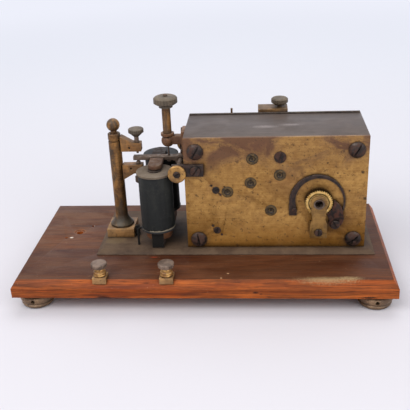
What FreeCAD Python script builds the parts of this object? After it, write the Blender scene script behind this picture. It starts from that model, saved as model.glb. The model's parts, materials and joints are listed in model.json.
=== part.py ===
import FreeCAD, Part
import math
import os

V = FreeCAD.Vector
X_AXIS = V(1, 0, 0)
Y_AXIS = V(0, 1, 0)
Z_AXIS = V(0, 0, 1)

# Frame: millimetres, +Z up, +X to the right of the front plate, -Y towards the front.
# The origin is the centre of the base's footprint, on the surface under the feet.

# Clearances
RUN = 0.05
SEAT = 0.02
AIR = 0.3

# Base board and feet
BASE_W = 300.0
BASE_D = 144.5
BASE_T = 14.5
BASE_BEVEL_OUT = 4.2
BASE_BEVEL_DROP = 6.5
FOOT_H = 13.5
FOOT_R = 14.0
FOOT_IN_X = 15.2
FOOT_IN_Y = 16.5
FOOT_STUD_R = 3.0
FOOT_STUD_L = 9.0
FOOT_HOLE_R = 1.6

# Raised deck on the base
DECK_W = 226.9
DECK_D = 82.0
DECK_T = 3.5
DECK_LIP = 0.6
DECK_BEVEL = 4.7
DECK_X = 23.95
DECK_Y = 11.5
DECK_SCREW_R = 2.0
DECK_SCREW_HEAD_R = 4.2
DECK_SCREW_HEAD_T = 2.4
DECK_SCREW_IN = 16.0

# Accessory holes at the left of the base
AUX_X = -113.5
AUX_Y = 13.0
AUX_R = 3.0
AUX_SINK_R = 4.6
AUX_SINK_T = 0.8
AUX_SCREW_R = 1.2
AUX_SCREW_PCD = 29.4
AUX_SCREW_TURN = 49.8
AUX_SCREW_DEPTH = 9.0

# Clockwork case
CASE_LEFT = -13.7
CASE_W = 143.1
CASE_PLAN_W = 143.1
CASE_H = 94.6
CASE_Y = 8.85
CASE_D = 61.5
SIDE_T = 2.5
COVER_T = 1.0
CORNER_IN_X = 9.3
CORNER_IN_TOP = 11.0
CORNER_IN_BOTTOM = 7.4
CORNER_HEAD_R = 6.4
CORNER_HEAD_H = 3.0
CORNER_SHANK_R = 2.4
CORNER_SHANK_L = 9.0
CORNER_SLOT_W = 1.3
CORNER_SLOT_T = 1.3
CORNER_SLOT_TURNS = (60.0, 15.0, 100.0, 40.0)
PILLAR_R = 5.0

# Train: pivot places on the front plate, measured from the case's lower left corner
# on a case CASE_PLAN_W wide. They spread with the case's own width.
SECOND_X, SECOND_Z = 68.0, 33.0
THIRD_X, THIRD_Z = 52.1, 57.0
FOURTH_X, FOURTH_Z = 33.7, 49.4
FEED_TURN = 77.0
INK_TURN = 85.8
BARREL_X, BARREL_Z = 105.5, 41.5
BLIND_X, BLIND_Z = 75.2, 78.3

GREAT_TEETH = 72
PINION_TEETH = 12
SECOND_TEETH = 60
THIRD_TEETH = 50
FEED_TEETH = 18
INK_TEETH = 13
TOOTH_FILL = 0.41
TOOTH_UP = 0.78
TOOTH_DOWN = 1.15
PRESSURE_ANGLE = 20.0
WHEEL_T = 2.0
PINION_EXTRA = 1.5
GREAT_Y = 10.0
SECOND_Y = 49.5
THIRD_Y = 40.0
RIM = 3.2
HUB_R = 4.0
SPOKE_W = 2.6
SPOKES = 4
ARBOR_R = 1.8
PIVOT_R = 1.0
ENDSHAKE = 0.4
BUSH_R = 4.6
BUSH_NECK_R = 3.0
BUSH_LIP_T = 0.5
BUSH_SINK_R = 2.6
BUSH_SINK_T = 1.0

# Mainspring barrel
BARREL_R = 26.5
BARREL_L = 36.0
BARREL_WALL = 1.8

# Fly with its worm
FLY_X = 24.5
FLY_Y = 10.5
WORM_TEETH = 16
WORM_R = 2.2
WORM_CORE_R = 1.2
WORM_CREST_R = 2.8
WORM_TURNS = 4
WORM_FILL = 0.32
FLY_ARBOR_R = 1.1
FLY_PIVOT_R = 0.6
FLY_R = 8.0
FLY_VANE_T = 0.5
FLY_LOW = 26.0
FLY_HIGH = 40.0
FLY_COCK_LOW = 15.5
FLY_COCK_HIGH = 51.0
FLY_COCK_W = 13.0
FLY_COCK_T = 3.0
FLY_COCK_HALF = 8.5
FLY_COCK_SCREW_R = 1.4
FLY_COCK_HEAD_R = 2.9
STEADY_R = 0.9

# Winding arbor, ratchet, click and the cock over them
WIND_R = 4.2
WIND_SOCKET_R = 3.3
WIND_SOCKET_L = 9.0
RATCHET_R = 10.9
RATCHET_TEETH = 36
RATCHET_DEPTH = 1.0
RATCHET_T = 5.0
RATCHET_GAP = 0.8
RATCHET_GROOVE_R = 8.2
RATCHET_GROOVE_W = 0.9
RATCHET_GROOVE_T = 0.5
COCK_T = 2.2
COCK_TOP_R = 6.9
COCK_FOOT_W = 13.4
COCK_FOOT_TOP = 18.0
COCK_FOOT_BOTTOM = 29.4
COCK_WAIST_W = 10.0
COCK_SCREW_DROP = 24.4
COCK_SCREW_R = 1.7
COCK_SCREW_HEAD_R = 3.1
CLICK_X = 13.3
CLICK_DROP = 19.2
CLICK_T = 3.4
CLICK_PIN_R = 1.8
CLICK_HEAD_R = 3.6
CLICK_BEARING = -20.0
CLICK_ROOM = 0.9
CLICK_NIB_ROOM = 0.45
CLICK_NIB_LOW = 0.5
CLICK_NIB_HIGH = 1.6
CLICK_SPRING_R = 23.3
CLICK_SPRING_FOOT_W = 5.8
CLICK_SPRING_TOP_W = 3.6
CLICK_SPRING_TIP_W = 1.3
CLICK_SPRING_T = 2.6
CLICK_SPRING_TIP = -20.0
CLICK_SPRING_FOOT = 208.0
CLICK_SPRING_SCREW_R = 1.1
CLICK_SPRING_HEAD_R = 2.0

# Armature lever line, shared by the stop post, the magnet and the tension post
LINE_Y = 7.0
LEVER_PIVOT_X = -19.0
LEVER_PIVOT_Z = 66.9
LEVER_W = 5.5
LEVER_T = 3.2
LEVER_LIFT = 0.2
LEVER_END_X = -58.4
LEVER_BOSS_R = 4.7
LEVER_ARBOR_R = 2.2
ARMATURE_W = 11.0
ARMATURE_L = 45.0
ARMATURE_T = 3.7
ARMATURE_DROP = 0.8
LAP = 1.8

# Cocks and hubs that carry the lever's arbor
LEVER_COCK_T = 3.6
LEVER_COCK_H = 9.4
LEVER_COCK_UP = 2.0
LEVER_COCK_IN = 15.4
LEVER_HUB_R = 7.2
LEVER_HUB_T = 2.4
PIVOT_SCREW_R = 2.6
PIVOT_SCREW_H = 0.8
LEVER_COCK_SCREW_R = 1.9
LEVER_COCK_HEAD_R = 3.9

# Electromagnet
MAGNET_X = -38.5
MAGNET_PITCH = 40.0
CORE_R = 5.3
CORE_GAP = 0.4
YOKE_W = 21.5
YOKE_L = 58.0
YOKE_T = 8.0
YOKE_UP = 6.5
CHEEK_R = 15.0
CHEEK_T = 1.8
WRAP_R = 14.0
WRAP_END_R = 14.3
LEAD_R = 0.9
LEAD_OFFSET = 4.0
LEAD_OUT = 3.0
LEAD_BEND = 2.2

# Stop post with its two arms
POST_X = -73.0
POST_BLOCK_W = 23.1
POST_BLOCK_H = 8.0
POST_BELL_R = 9.8
POST_BELL_H = 9.5
POST_R = 5.2
POST_TOP = 90.4
POST_GROOVE_H = 1.6
POST_GROOVE_R = 4.4
POST_CAP_H = 5.2
POST_NECK_R = 2.6
POST_NECK_H = 1.8
BALL_R = 5.4
BALL_TIP_R = 0.5
TENON_W = 3.2
TENON_L = 3.4
ARM_W = 7.6
ARM_REACH = 21.9
ARM_KNEE = 14.6
ARM_TIP_H = 6.9
ARM_ROOT_H = 13.0
ARM_UPPER_Z = 75.1
ARM_LOWER_Z = 63.2
ARM_HOLE_R = 0.9
ARM_HOLE_X = 12.3
ARM_BORE_X = 18.3
STOP_R = 1.9
STOP_TIP_R = 1.0
STOP_TIP_L = 2.0
STOP_PLAY = 2.4
KNOB_R = 6.3
KNOB_H = 3.4
KNOB_CONE_H = 3.0
KNOB_UP = 5.4
LOWER_HEAD_R = 3.8
LOWER_HEAD_H = 5.0
LOWER_HEAD_DOWN = 4.4

# Tension post at the case's left side
TENSION_X = -28.9
TENSION_BOSS_Z = 83.2
TENSION_BOSS_R = 5.3
TENSION_ARM_H = 6.9
TENSION_ARM_W = 6.8
TENSION_FLANGE_T = 3.4
TENSION_FLANGE_W = 16.0
TENSION_FLANGE_LOW = 73.2
TENSION_FLANGE_HIGH = 92.7
TENSION_RING_R = 5.4
TENSION_RING_H = 2.2
TENSION_TUBE_R = 3.5
TENSION_BORE_R = 2.5
TENSION_TUBE_TOP = 111.4
TENSION_KNOB_R = 9.6
TENSION_KNOB_H = 6.6
TENSION_COLLAR_R = 5.6
TENSION_COLLAR_H = 2.4
TENSION_ROD_R = 1.7
TENSION_ROD_UP = 1.6
TENSION_ROD_LOW = 104.0
TENSION_SPRING_LOW = 87.0
TENSION_SPRING_R = 2.1
TENSION_SPRING_WIRE = 0.35
TENSION_SPRING_TURNS = 12
HOOK_R = 0.7
HOOK_BEAD_R = 1.7
HOOK_BEAD_H = 1.4
HOOK_ROOM = 0.5
TENSION_SCREW_R = 1.5
TENSION_SCREW_HEAD_R = 2.6

# Binding posts on the front edge
TERMINAL_LEFT_X = -78.9
TERMINAL_RIGHT_X = -26.6
TERMINAL_W = 10.7
TERMINAL_IN = 1.0
TERMINAL_LOW = 2.6
TERMINAL_H = 5.2
TERMINAL_STUD_R = 2.0
TERMINAL_STUD_L = 8.6
TERMINAL_TAIL_L = 6.0
WASHER_R = 5.0
WASHER_T = 1.6
NUT_R = 6.3
NUT_H = 9.0
NUT_KNURL_H = 3.3
NUT_NECK_R = 3.9
NUT_BEAD_R = 4.9
KNURLS = 24
KNURL_T = 0.35

# Paper gear behind the case
BRACKET_AT = 70.65
BRACKET_W = 24.9
BRACKET_T = 3.4
BRACKET_HIGH = 97.8
BRACKET_SHELF_T = 4.6
BRACKET_SHELF_D = 15.0
BRACKET_SCREW_R = 1.5
BRACKET_SCREW_HEAD_R = 2.7
PRESS_SCREW_AT = 76.5
PRESS_SCREW_Y = 9.4
PRESS_SCREW_R = 1.9
PRESS_SCREW_ROOM = 1.1
PRESS_KNOB_R = 7.1
PRESS_KNOB_H = 5.0
PRESS_KNOB_UP = 2.2
FEED_ROLL_R = 6.0
FEED_ROLL_L = 11.0
FEED_ROLL_GAP = 4.2
PRESS_ROLL_R = 4.6
ROLL_GAP = 0.35
PRESS_ARM_X = 24.0
PRESS_ARM_T = 2.0
PRESS_ARM_H = 4.2
PRESS_ARM_GAP = 1.4
PRESS_TAB_T = 1.5
PRESS_PIN_R = 1.4
PRESS_PIN_HEAD_R = 2.6
PRESS_PIVOT_R = 1.8
PRESS_PIVOT_HEAD_R = 3.4
INK_WHEEL_R = 5.6
INK_WHEEL_T = 2.0
GUIDE_AT = 35.7
GUIDE_Y = 5.5
GUIDE_W = 8.0
GUIDE_LOW = 82.0
GUIDE_H = 6.0
GUIDE_PIN_R = 0.9
GUIDE_PIN_TOP = 97.2

# Derived levels and faces
BASE_Z = FOOT_H
BASE_TOP = BASE_Z + BASE_T
DECK = BASE_TOP + DECK_T
CASE_RIGHT = CASE_LEFT + CASE_W
CASE_TOP = DECK + CASE_H
FRONT = CASE_Y - CASE_D / 2
BACK = CASE_Y + CASE_D / 2
INNER_FRONT = FRONT + SIDE_T
INNER_BACK = BACK - SIDE_T
PIVOT = V(LEVER_PIVOT_X, LINE_Y, DECK + LEVER_PIVOT_Z)
LEVER_LOW = PIVOT.z + LEVER_LIFT
LEVER_HIGH = LEVER_LOW + LEVER_T
ARMATURE_HIGH = LEVER_HIGH - ARMATURE_DROP
ARMATURE_LOW = ARMATURE_HIGH - ARMATURE_T
CORE_TOP = ARMATURE_LOW - CORE_GAP
RATCHET_BACK = FRONT - RATCHET_GAP
RATCHET_FRONT = RATCHET_BACK - RATCHET_T
COCK_BACK = RATCHET_FRONT - AIR
COCK_FRONT = COCK_BACK - COCK_T


def along_case(x):
    return CASE_LEFT + x * CASE_W / CASE_PLAN_W


def case_point(x, z):
    return (along_case(x), DECK + z)


def away(point, distance, degrees):
    turn = math.radians(degrees)
    return (point[0] + distance * math.cos(turn), point[1] + distance * math.sin(turn))


def bearing(start, end):
    return math.degrees(math.atan2(end[1] - start[1], end[0] - start[0]))


def span(start, end):
    return math.hypot(end[0] - start[0], end[1] - start[1])


# Pivot places, with wheel sizes that follow from the distances between them
BARREL = case_point(BARREL_X, BARREL_Z)
SECOND = case_point(SECOND_X, SECOND_Z)
THIRD = case_point(THIRD_X, THIRD_Z)
FOURTH = case_point(FOURTH_X, FOURTH_Z)
BLIND = case_point(BLIND_X, BLIND_Z)
GREAT_M = 2 * span(BARREL, SECOND) / (GREAT_TEETH + PINION_TEETH)
SECOND_M = 2 * span(SECOND, THIRD) / (SECOND_TEETH + PINION_TEETH)
THIRD_M = 2 * span(THIRD, FOURTH) / (THIRD_TEETH + PINION_TEETH)
FEED = away(SECOND, SECOND_M * (SECOND_TEETH + FEED_TEETH) / 2, FEED_TURN)
INK = away(THIRD, THIRD_M * (THIRD_TEETH + INK_TEETH) / 2, INK_TURN)
FLY = (along_case(FLY_X), INNER_FRONT + FLY_Y)
WORM_WHEEL_R = FOURTH[0] - FLY[0] - WORM_R
WORM_LEAD = 2 * math.pi * WORM_WHEEL_R / WORM_TEETH
BRACKET_X = along_case(BRACKET_AT)
PRESS_SCREW_X = along_case(PRESS_SCREW_AT)
GUIDE_X = along_case(GUIDE_AT)


def block(x0, x1, y0, y1, z0, z1):
    return Part.makeBox(x1 - x0, y1 - y0, z1 - z0, V(x0, y0, z0))


def rod(radius, start, end):
    way = end - start
    return Part.makeCylinder(radius, way.Length, start, way)


def upright(radius, x, y, z0, z1):
    return rod(radius, V(x, y, z0), V(x, y, z1))


def through(radius, x, z, y0, y1):
    return rod(radius, V(x, y0, z), V(x, y1, z))


def outline(points):
    """Closed wire from points; a pair of points is an arc's middle and its end."""
    start = points[0]
    edges = []
    here = start
    for step in list(points[1:]) + [start]:
        if isinstance(step, tuple):
            edges.append(Part.Arc(here, step[0], step[1]).toShape())
            here = step[1]
            continue
        if (step - here).Length > 1e-7:
            edges.append(Part.LineSegment(here, step).toShape())
        here = step
    return Part.Wire(edges)


def turned(points, place, axis=Z_AXIS):
    """Solid of revolution; points are (radius, height), or ((r, h), (r, h)) for an arc."""
    steps = []
    for point in points:
        if isinstance(point[0], tuple):
            steps.append((V(point[0][0], 0, point[0][1]), V(point[1][0], 0, point[1][1])))
        else:
            steps.append(V(point[0], 0, point[1]))
    solid = Part.Face(outline(steps)).revolve(V(0, 0, 0), Z_AXIS, 360)
    solid.Placement = FreeCAD.Placement(place, FreeCAD.Rotation(Z_AXIS, axis))
    return solid


def slab(points, y, depth):
    """Outline in X and Z, pushed along Y from y."""
    steps = []
    for point in points:
        if isinstance(point[0], tuple):
            steps.append((V(point[0][0], y, point[0][1]), V(point[1][0], y, point[1][1])))
        else:
            steps.append(V(point[0], y, point[1]))
    return Part.Face(outline(steps)).extrude(V(0, depth, 0))


def slot(place, axis, reach, width, depth, degrees):
    """Cutter for a screwdriver slot whose floor is depth below place."""
    cutter = Part.makeBox(2 * reach, width, 2 * depth, V(-reach, -width / 2, -depth))
    cutter.rotate(V(0, 0, 0), Z_AXIS, degrees)
    cutter.Placement = FreeCAD.Placement(place, FreeCAD.Rotation(Z_AXIS, axis)) * cutter.Placement
    return cutter


def dome_screw(place, axis, head_r, head_h, shank_r, shank_l, slot_w, slot_t, degrees):
    """Round-headed slotted screw; place is under the head, and axis points out of the head."""
    rim = head_h * 0.35
    head = turned([(0, -shank_l), (shank_r, -shank_l), (shank_r, 0), (head_r, 0), (head_r, rim),
                   ((head_r * 0.72, head_h * 0.83), (0, head_h))], place, axis)
    return head.cut(slot(place + axis * head_h, axis, head_r + 1, slot_w, slot_t, degrees))


def flat_screw(place, axis, head_r, head_h, shank_r, shank_l, degrees):
    """Cheese-headed slotted screw; place is under the head, and axis points out of the head."""
    head = turned([(0, -shank_l), (shank_r, -shank_l), (shank_r, 0), (head_r, 0),
                   (head_r, head_h * 0.8), (head_r * 0.92, head_h), (0, head_h)], place, axis)
    return head.cut(slot(place + axis * head_h, axis, head_r + 1, head_r * 0.28, head_h * 0.5, degrees))


def knurled(disc, place, axis, radius, low, high):
    """Cuts straight knurls into a disc's rim."""
    cuts = []
    for index in range(KNURLS):
        cutter = Part.makeCylinder(KNURL_T, high - low + 2, V(radius + KNURL_T * 0.25, 0, low - 1), Z_AXIS)
        cutter.rotate(V(0, 0, 0), Z_AXIS, 360.0 * index / KNURLS)
        cutter.Placement = FreeCAD.Placement(place, FreeCAD.Rotation(Z_AXIS, axis)) * cutter.Placement
        cuts.append(cutter)
    return disc.cut(cuts)


def save(name, shapes):
    whole = Part.makeCompound(shapes) if isinstance(shapes, list) else shapes
    solids = whole.Solids
    result = solids[0] if len(solids) == 1 else Part.makeCompound(solids)
    result.exportStep("parts/" + name + ".step")
    good = all(solid.isValid() for solid in solids)
    print(name, len(solids), round(sum(solid.Volume for solid in solids), 2), "ok" if good else "BAD")


# Base, feet and deck

def foot_places():
    reach_x = BASE_W / 2 - FOOT_IN_X
    reach_y = BASE_D / 2 - FOOT_IN_Y
    return [(side * reach_x, end * reach_y) for side in (-1, 1) for end in (-1, 1)]


def deck_screw_places():
    reach_x = DECK_W / 2 - DECK_SCREW_IN
    reach_y = DECK_D / 2 - DECK_SCREW_IN
    return [(DECK_X + side * reach_x, DECK_Y + end * reach_y) for side in (-1, 1) for end in (-1, 1)]


def bevelled(x, y, z, width, depth, edge_z, top_z, bevel):
    """Board with upright edges up to edge_z and a bevel from there to top_z."""
    low = block(x - width / 2, x + width / 2, y - depth / 2, y + depth / 2, z, edge_z)
    outer = []
    inner = []
    for sx, sy in ((-1, -1), (1, -1), (1, 1), (-1, 1)):
        outer.append(V(x + sx * width / 2, y + sy * depth / 2, edge_z))
        inner.append(V(x + sx * (width / 2 - bevel), y + sy * (depth / 2 - bevel), top_z))
    faces = [Part.Face(outline(outer)), Part.Face(outline(inner))]
    for index in range(4):
        after = (index + 1) % 4
        faces.append(Part.Face(outline([outer[index], outer[after], inner[after], inner[index]])))
    high = Part.makeSolid(Part.makeShell(faces))
    if high.Volume < 0:
        high.reverse()
    return low.fuse(high).removeSplitter()


def terminal_front():
    return -BASE_D / 2 + TERMINAL_IN


def base_board():
    board = bevelled(0, 0, BASE_Z, BASE_W, BASE_D, BASE_TOP - BASE_BEVEL_DROP, BASE_TOP, BASE_BEVEL_OUT)
    cuts = []
    for x, y in foot_places():
        cuts.append(upright(FOOT_STUD_R + RUN, x, y, BASE_Z - 1, BASE_Z + FOOT_STUD_L + AIR))
    for x, y in deck_screw_places():
        cuts.append(upright(DECK_SCREW_R + RUN, x, y, BASE_Z - 1, BASE_TOP + 1))
        cuts.append(upright(DECK_SCREW_HEAD_R + RUN, x, y, BASE_Z - 1, BASE_Z + DECK_SCREW_HEAD_T + 1))
    for x in (TERMINAL_LEFT_X, TERMINAL_RIGHT_X):
        half = TERMINAL_W / 2 + SEAT
        back = terminal_front() + TERMINAL_W + SEAT
        cuts.append(block(x - half, x + half, -BASE_D, back, BASE_TOP - TERMINAL_LOW, BASE_TOP + 1))
        tail = BASE_TOP - TERMINAL_LOW - TERMINAL_TAIL_L
        cuts.append(upright(TERMINAL_STUD_R + RUN, x, terminal_axis_y(), tail - AIR, BASE_TOP))
    cuts.append(upright(AUX_R, AUX_X, AUX_Y, BASE_Z - 1, BASE_TOP + 1))
    cuts.append(upright(AUX_SINK_R, AUX_X, AUX_Y, BASE_TOP - AUX_SINK_T, BASE_TOP + 1))
    for side in (0, 180):
        x, y = away((AUX_X, AUX_Y), AUX_SCREW_PCD / 2, AUX_SCREW_TURN + side)
        cuts.append(upright(AUX_SCREW_R, x, y, BASE_TOP - AUX_SCREW_DEPTH, BASE_TOP + 1))
    return board.cut(cuts)


def feet():
    result = []
    for x, y in foot_places():
        r = FOOT_R
        h = FOOT_H
        foot = turned([(0, 0), (r * 0.62, 0), ((r * 0.86, h * 0.07), (r * 0.94, h * 0.24)),
                       (r * 0.88, h * 0.31), (r * 0.94, h * 0.38),
                       ((r, h * 0.55), (r * 0.93, h * 0.72)), (r * 0.84, h * 0.78),
                       (r * 0.84, h), (FOOT_STUD_R, h), (FOOT_STUD_R, h + FOOT_STUD_L),
                       (0, h + FOOT_STUD_L)], V(x, y, 0))
        bar = rod(FOOT_HOLE_R, V(x, y - r - 1, h * 0.55), V(x, y - r * 0.4, h * 0.55))
        result.append(foot.cut(bar))
    return result


def deck_plate():
    edge = BASE_TOP + DECK_LIP
    plate = bevelled(DECK_X, DECK_Y, BASE_TOP, DECK_W, DECK_D, edge, DECK, DECK_BEVEL)
    cuts = [upright(DECK_SCREW_R + RUN, x, y, BASE_TOP - 1, DECK - 0.8) for x, y in deck_screw_places()]
    return plate.cut(cuts)


def deck_screws():
    result = []
    for x, y in deck_screw_places():
        seat = V(x, y, BASE_Z + DECK_SCREW_HEAD_T + 1)
        length = DECK - 0.8 - AIR - seat.z
        result.append(flat_screw(seat, -Z_AXIS, DECK_SCREW_HEAD_R, DECK_SCREW_HEAD_T, DECK_SCREW_R, length, 30))
    return result


# Binding posts

def terminal_axis_y():
    return terminal_front() + TERMINAL_W / 2


def terminal_blocks():
    result = []
    for x in (TERMINAL_LEFT_X, TERMINAL_RIGHT_X):
        low = BASE_TOP - TERMINAL_LOW
        half = TERMINAL_W / 2
        body = block(x - half, x + half, terminal_front(), terminal_front() + TERMINAL_W, low, low + TERMINAL_H)
        stud = upright(TERMINAL_STUD_R, x, terminal_axis_y(), low - TERMINAL_TAIL_L, low + TERMINAL_H + TERMINAL_STUD_L)
        result.append(body.fuse(stud).removeSplitter())
    return result


def washer_low():
    return BASE_TOP - TERMINAL_LOW + TERMINAL_H + AIR


def terminal_washer(x):
    low = washer_low()
    return turned([(TERMINAL_STUD_R + RUN, 0), (WASHER_R * 0.94, 0), ((WASHER_R, WASHER_T / 2), (WASHER_R * 0.94, WASHER_T)),
                   (TERMINAL_STUD_R + RUN, WASHER_T)], V(x, terminal_axis_y(), low))


def terminal_nut(x):
    place = V(x, terminal_axis_y(), washer_low() + WASHER_T + RUN)
    bore = TERMINAL_STUD_R + RUN
    depth = TERMINAL_STUD_L - AIR - WASHER_T + AIR
    skirt = NUT_H - NUT_KNURL_H
    nut = turned([(bore, 0), (NUT_BEAD_R * 0.95, 0), ((NUT_BEAD_R, skirt * 0.15), (NUT_BEAD_R * 0.95, skirt * 0.3)),
                  (NUT_NECK_R, skirt * 0.4), (NUT_NECK_R, skirt * 0.55), (NUT_BEAD_R * 0.92, skirt * 0.7),
                  (NUT_NECK_R, skirt * 0.88), (NUT_R * 0.93, skirt), (NUT_R, skirt + 0.5),
                  (NUT_R, NUT_H - 0.5), (NUT_R * 0.92, NUT_H), (0, NUT_H), (0, depth), (bore, depth)], place)
    return knurled(nut, place, Z_AXIS, NUT_R, skirt + 0.5, NUT_H)


# Clockwork case

def corner_places():
    low = DECK + CORNER_IN_BOTTOM
    high = CASE_TOP - CORNER_IN_TOP
    left = CASE_LEFT + CORNER_IN_X
    right = CASE_RIGHT - CORNER_IN_X
    return [(left, high), (right, high), (left, low), (right, low)]


def train_places():
    return [SECOND, THIRD, FOURTH, FEED, INK]


def case_plate(y):
    plate = block(CASE_LEFT, CASE_RIGHT, y, y + SIDE_T, DECK, CASE_TOP)
    cuts = []
    for x, z in corner_places():
        cuts.append(through(CORNER_SHANK_R + RUN, x, z, y - 1, y + SIDE_T + 1))
    for x, z in train_places():
        cuts.append(through(BUSH_NECK_R + SEAT, x, z, y - 1, y + SIDE_T + 1))
    cuts.append(through(WIND_R + RUN, BARREL[0], BARREL[1], y - 1, y + SIDE_T + 1))
    return plate.cut(cuts)


def fly_cock_places():
    """Screw place and its two steady-pin places, for the upper and the lower cock."""
    result = []
    for high in (FLY_COCK_HIGH, FLY_COCK_LOW):
        x, z = FLY[0], DECK + high
        result.append(((x, z), (x - 3.4, z + 4.0), (x + 3.6, z - 4.0)))
    return result


def cock_foot_place():
    return (BARREL[0], BARREL[1] - COCK_SCREW_DROP)


def click_place():
    return (BARREL[0] + CLICK_X, BARREL[1] - CLICK_DROP)


def click_spring_screw_place():
    middle = CLICK_SPRING_R - CLICK_SPRING_FOOT_W / 2
    return away(BARREL, middle, CLICK_SPRING_FOOT - 7)


def lever_cock_screw_place():
    return (CASE_LEFT + LEVER_COCK_IN * 0.6, PIVOT.z + LEVER_COCK_UP)


def front_plate():
    plate = case_plate(FRONT)
    cuts = []
    for screw, first, second in fly_cock_places():
        cuts.append(through(FLY_COCK_SCREW_R + RUN, screw[0], screw[1], FRONT - 1, INNER_FRONT + 1))
        for pin in (first, second):
            cuts.append(through(STEADY_R + SEAT, pin[0], pin[1], FRONT - 1, INNER_FRONT + 1))
    for place, radius in ((cock_foot_place(), COCK_SCREW_R), (click_place(), CLICK_PIN_R),
                          (click_spring_screw_place(), CLICK_SPRING_SCREW_R),
                          (lever_cock_screw_place(), LEVER_COCK_SCREW_R), (BLIND, COCK_SCREW_R)):
        cuts.append(through(radius + RUN, place[0], place[1], FRONT - 1, INNER_FRONT + 1))
    return plate.cut(cuts)


def back_plate():
    plate = case_plate(INNER_BACK)
    cuts = []
    others = [(lever_cock_screw_place(), LEVER_COCK_SCREW_R), (press_pivot_place(), PRESS_PIVOT_R)]
    for place, radius in bracket_screw_places() + others:
        cuts.append(through(radius + RUN, place[0], place[1], INNER_BACK - 1, BACK + 1))
    return plate.cut(cuts)


def case_pillars():
    result = []
    for x, z in corner_places():
        pillar = through(PILLAR_R, x, z, INNER_FRONT, INNER_BACK)
        for y0, y1 in ((INNER_FRONT - 1, FRONT + CORNER_SHANK_L + AIR), (BACK - CORNER_SHANK_L - AIR, INNER_BACK + 1)):
            pillar = pillar.cut(through(CORNER_SHANK_R + RUN, x, z, y0, y1))
        result.append(pillar)
    return result


def case_screws():
    result = []
    for (x, z), turn in zip(corner_places(), CORNER_SLOT_TURNS):
        for y, axis in ((FRONT, -Y_AXIS), (BACK, Y_AXIS)):
            result.append(dome_screw(V(x, y, z), axis, CORNER_HEAD_R, CORNER_HEAD_H, CORNER_SHANK_R,
                                     CORNER_SHANK_L, CORNER_SLOT_W, CORNER_SLOT_T, turn))
    return result


def dust_cover():
    low = DECK
    high = CASE_TOP
    shell = block(CASE_LEFT, CASE_RIGHT, INNER_FRONT, INNER_BACK, low, high)
    space = block(CASE_LEFT + COVER_T, CASE_RIGHT - COVER_T, INNER_FRONT - 1, INNER_BACK + 1, low - 1, high - COVER_T)
    cover = shell.cut(space)
    return cover.cut([rod(TENSION_SCREW_R + RUN, V(CASE_LEFT - 1, y, z), V(CASE_LEFT + COVER_T + 1, y, z))
                      for y, z in tension_screw_places()])


def bushes(y, axis):
    result = []
    for x, z in train_places():
        bore = PIVOT_R + RUN
        result.append(turned([(bore, -SIDE_T), (BUSH_NECK_R, -SIDE_T), (BUSH_NECK_R, 0), (BUSH_R, 0),
                              (BUSH_R, BUSH_LIP_T * 0.6), (BUSH_R - 0.4, BUSH_LIP_T), (BUSH_SINK_R, BUSH_LIP_T),
                              ((BUSH_SINK_R * 0.8, BUSH_LIP_T - BUSH_SINK_T * 0.7), (bore, BUSH_LIP_T - BUSH_SINK_T))],
                             V(x, y, z), axis))
    return result


def blind_screw():
    length = SIDE_T + 1.5
    return flat_screw(V(BLIND[0], FRONT, BLIND[1]), -Y_AXIS, BUSH_R, 1.0, COCK_SCREW_R, length, 70)


# Wheel train

def involute(alpha):
    return math.tan(alpha) - alpha


def tooth_flank(teeth, module):
    """Half of one tooth as (radius, half angle), from the root to the tip."""
    pitch_r = teeth * module / 2
    pressure = math.radians(PRESSURE_ANGLE)
    base_r = pitch_r * math.cos(pressure)
    tip_r = pitch_r + TOOTH_UP * module
    root_r = pitch_r - TOOTH_DOWN * module
    half = math.pi * TOOTH_FILL / teeth
    start_r = max(base_r, root_r)
    result = []
    if root_r < start_r:
        result.append((root_r, half + involute(pressure)))
    for step in range(4):
        r = start_r + (tip_r - start_r) * step / 3
        alpha = math.acos(min(1.0, base_r / r))
        result.append((r, half + involute(pressure) - involute(alpha)))
    return result


def gear(teeth, module, centre, y, width, phase):
    """Toothed disc; phase is the direction of one tooth's middle, in degrees."""
    flank = tooth_flank(teeth, module)
    points = []
    for index in range(teeth):
        middle = math.radians(phase) + 2 * math.pi * index / teeth
        for r, half in flank:
            points.append((centre[0] + r * math.cos(middle - half), centre[1] + r * math.sin(middle - half)))
        for r, half in reversed(flank):
            points.append((centre[0] + r * math.cos(middle + half), centre[1] + r * math.sin(middle + half)))
    return slab(points, y, width)


def meshed(phase, teeth, centre, other_teeth, other):
    """Phase of the other gear, so that its gap takes the first gear's tooth."""
    line = bearing(centre, other)
    part = (line - phase) * teeth
    return line + 180 - (180 - part) / other_teeth


def windows(centre, y, width, inner, outer):
    """Cutters that leave straight spokes between a hub and a rim."""
    ring = through(outer, centre[0], centre[1], y - 1, y + width + 1)
    ring = ring.cut(through(inner, centre[0], centre[1], y - 2, y + width + 2))
    for index in range(SPOKES):
        bar = block(-outer - 1, outer + 1, y - 2, y + width + 2, -SPOKE_W / 2, SPOKE_W / 2)
        bar.rotate(V(0, 0, 0), Y_AXIS, 180.0 * index / SPOKES)
        bar.translate(V(centre[0], 0, centre[1]))
        ring = ring.cut(bar)
    return ring


def wheel(teeth, module, centre, y, phase):
    disc = gear(teeth, module, centre, y, WHEEL_T, phase)
    outer = teeth * module / 2 - RIM
    return disc.cut(windows(centre, y, WHEEL_T, HUB_R, outer))


def arbor(centre, back_end):
    """Shaft between the plates with its two pivots; back_end is where the rear one ends."""
    x, z = centre
    shaft = through(ARBOR_R, x, z, INNER_FRONT + ENDSHAKE, INNER_BACK - ENDSHAKE)
    return shaft.fuse(through(PIVOT_R, x, z, FRONT + 0.4, back_end))


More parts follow.
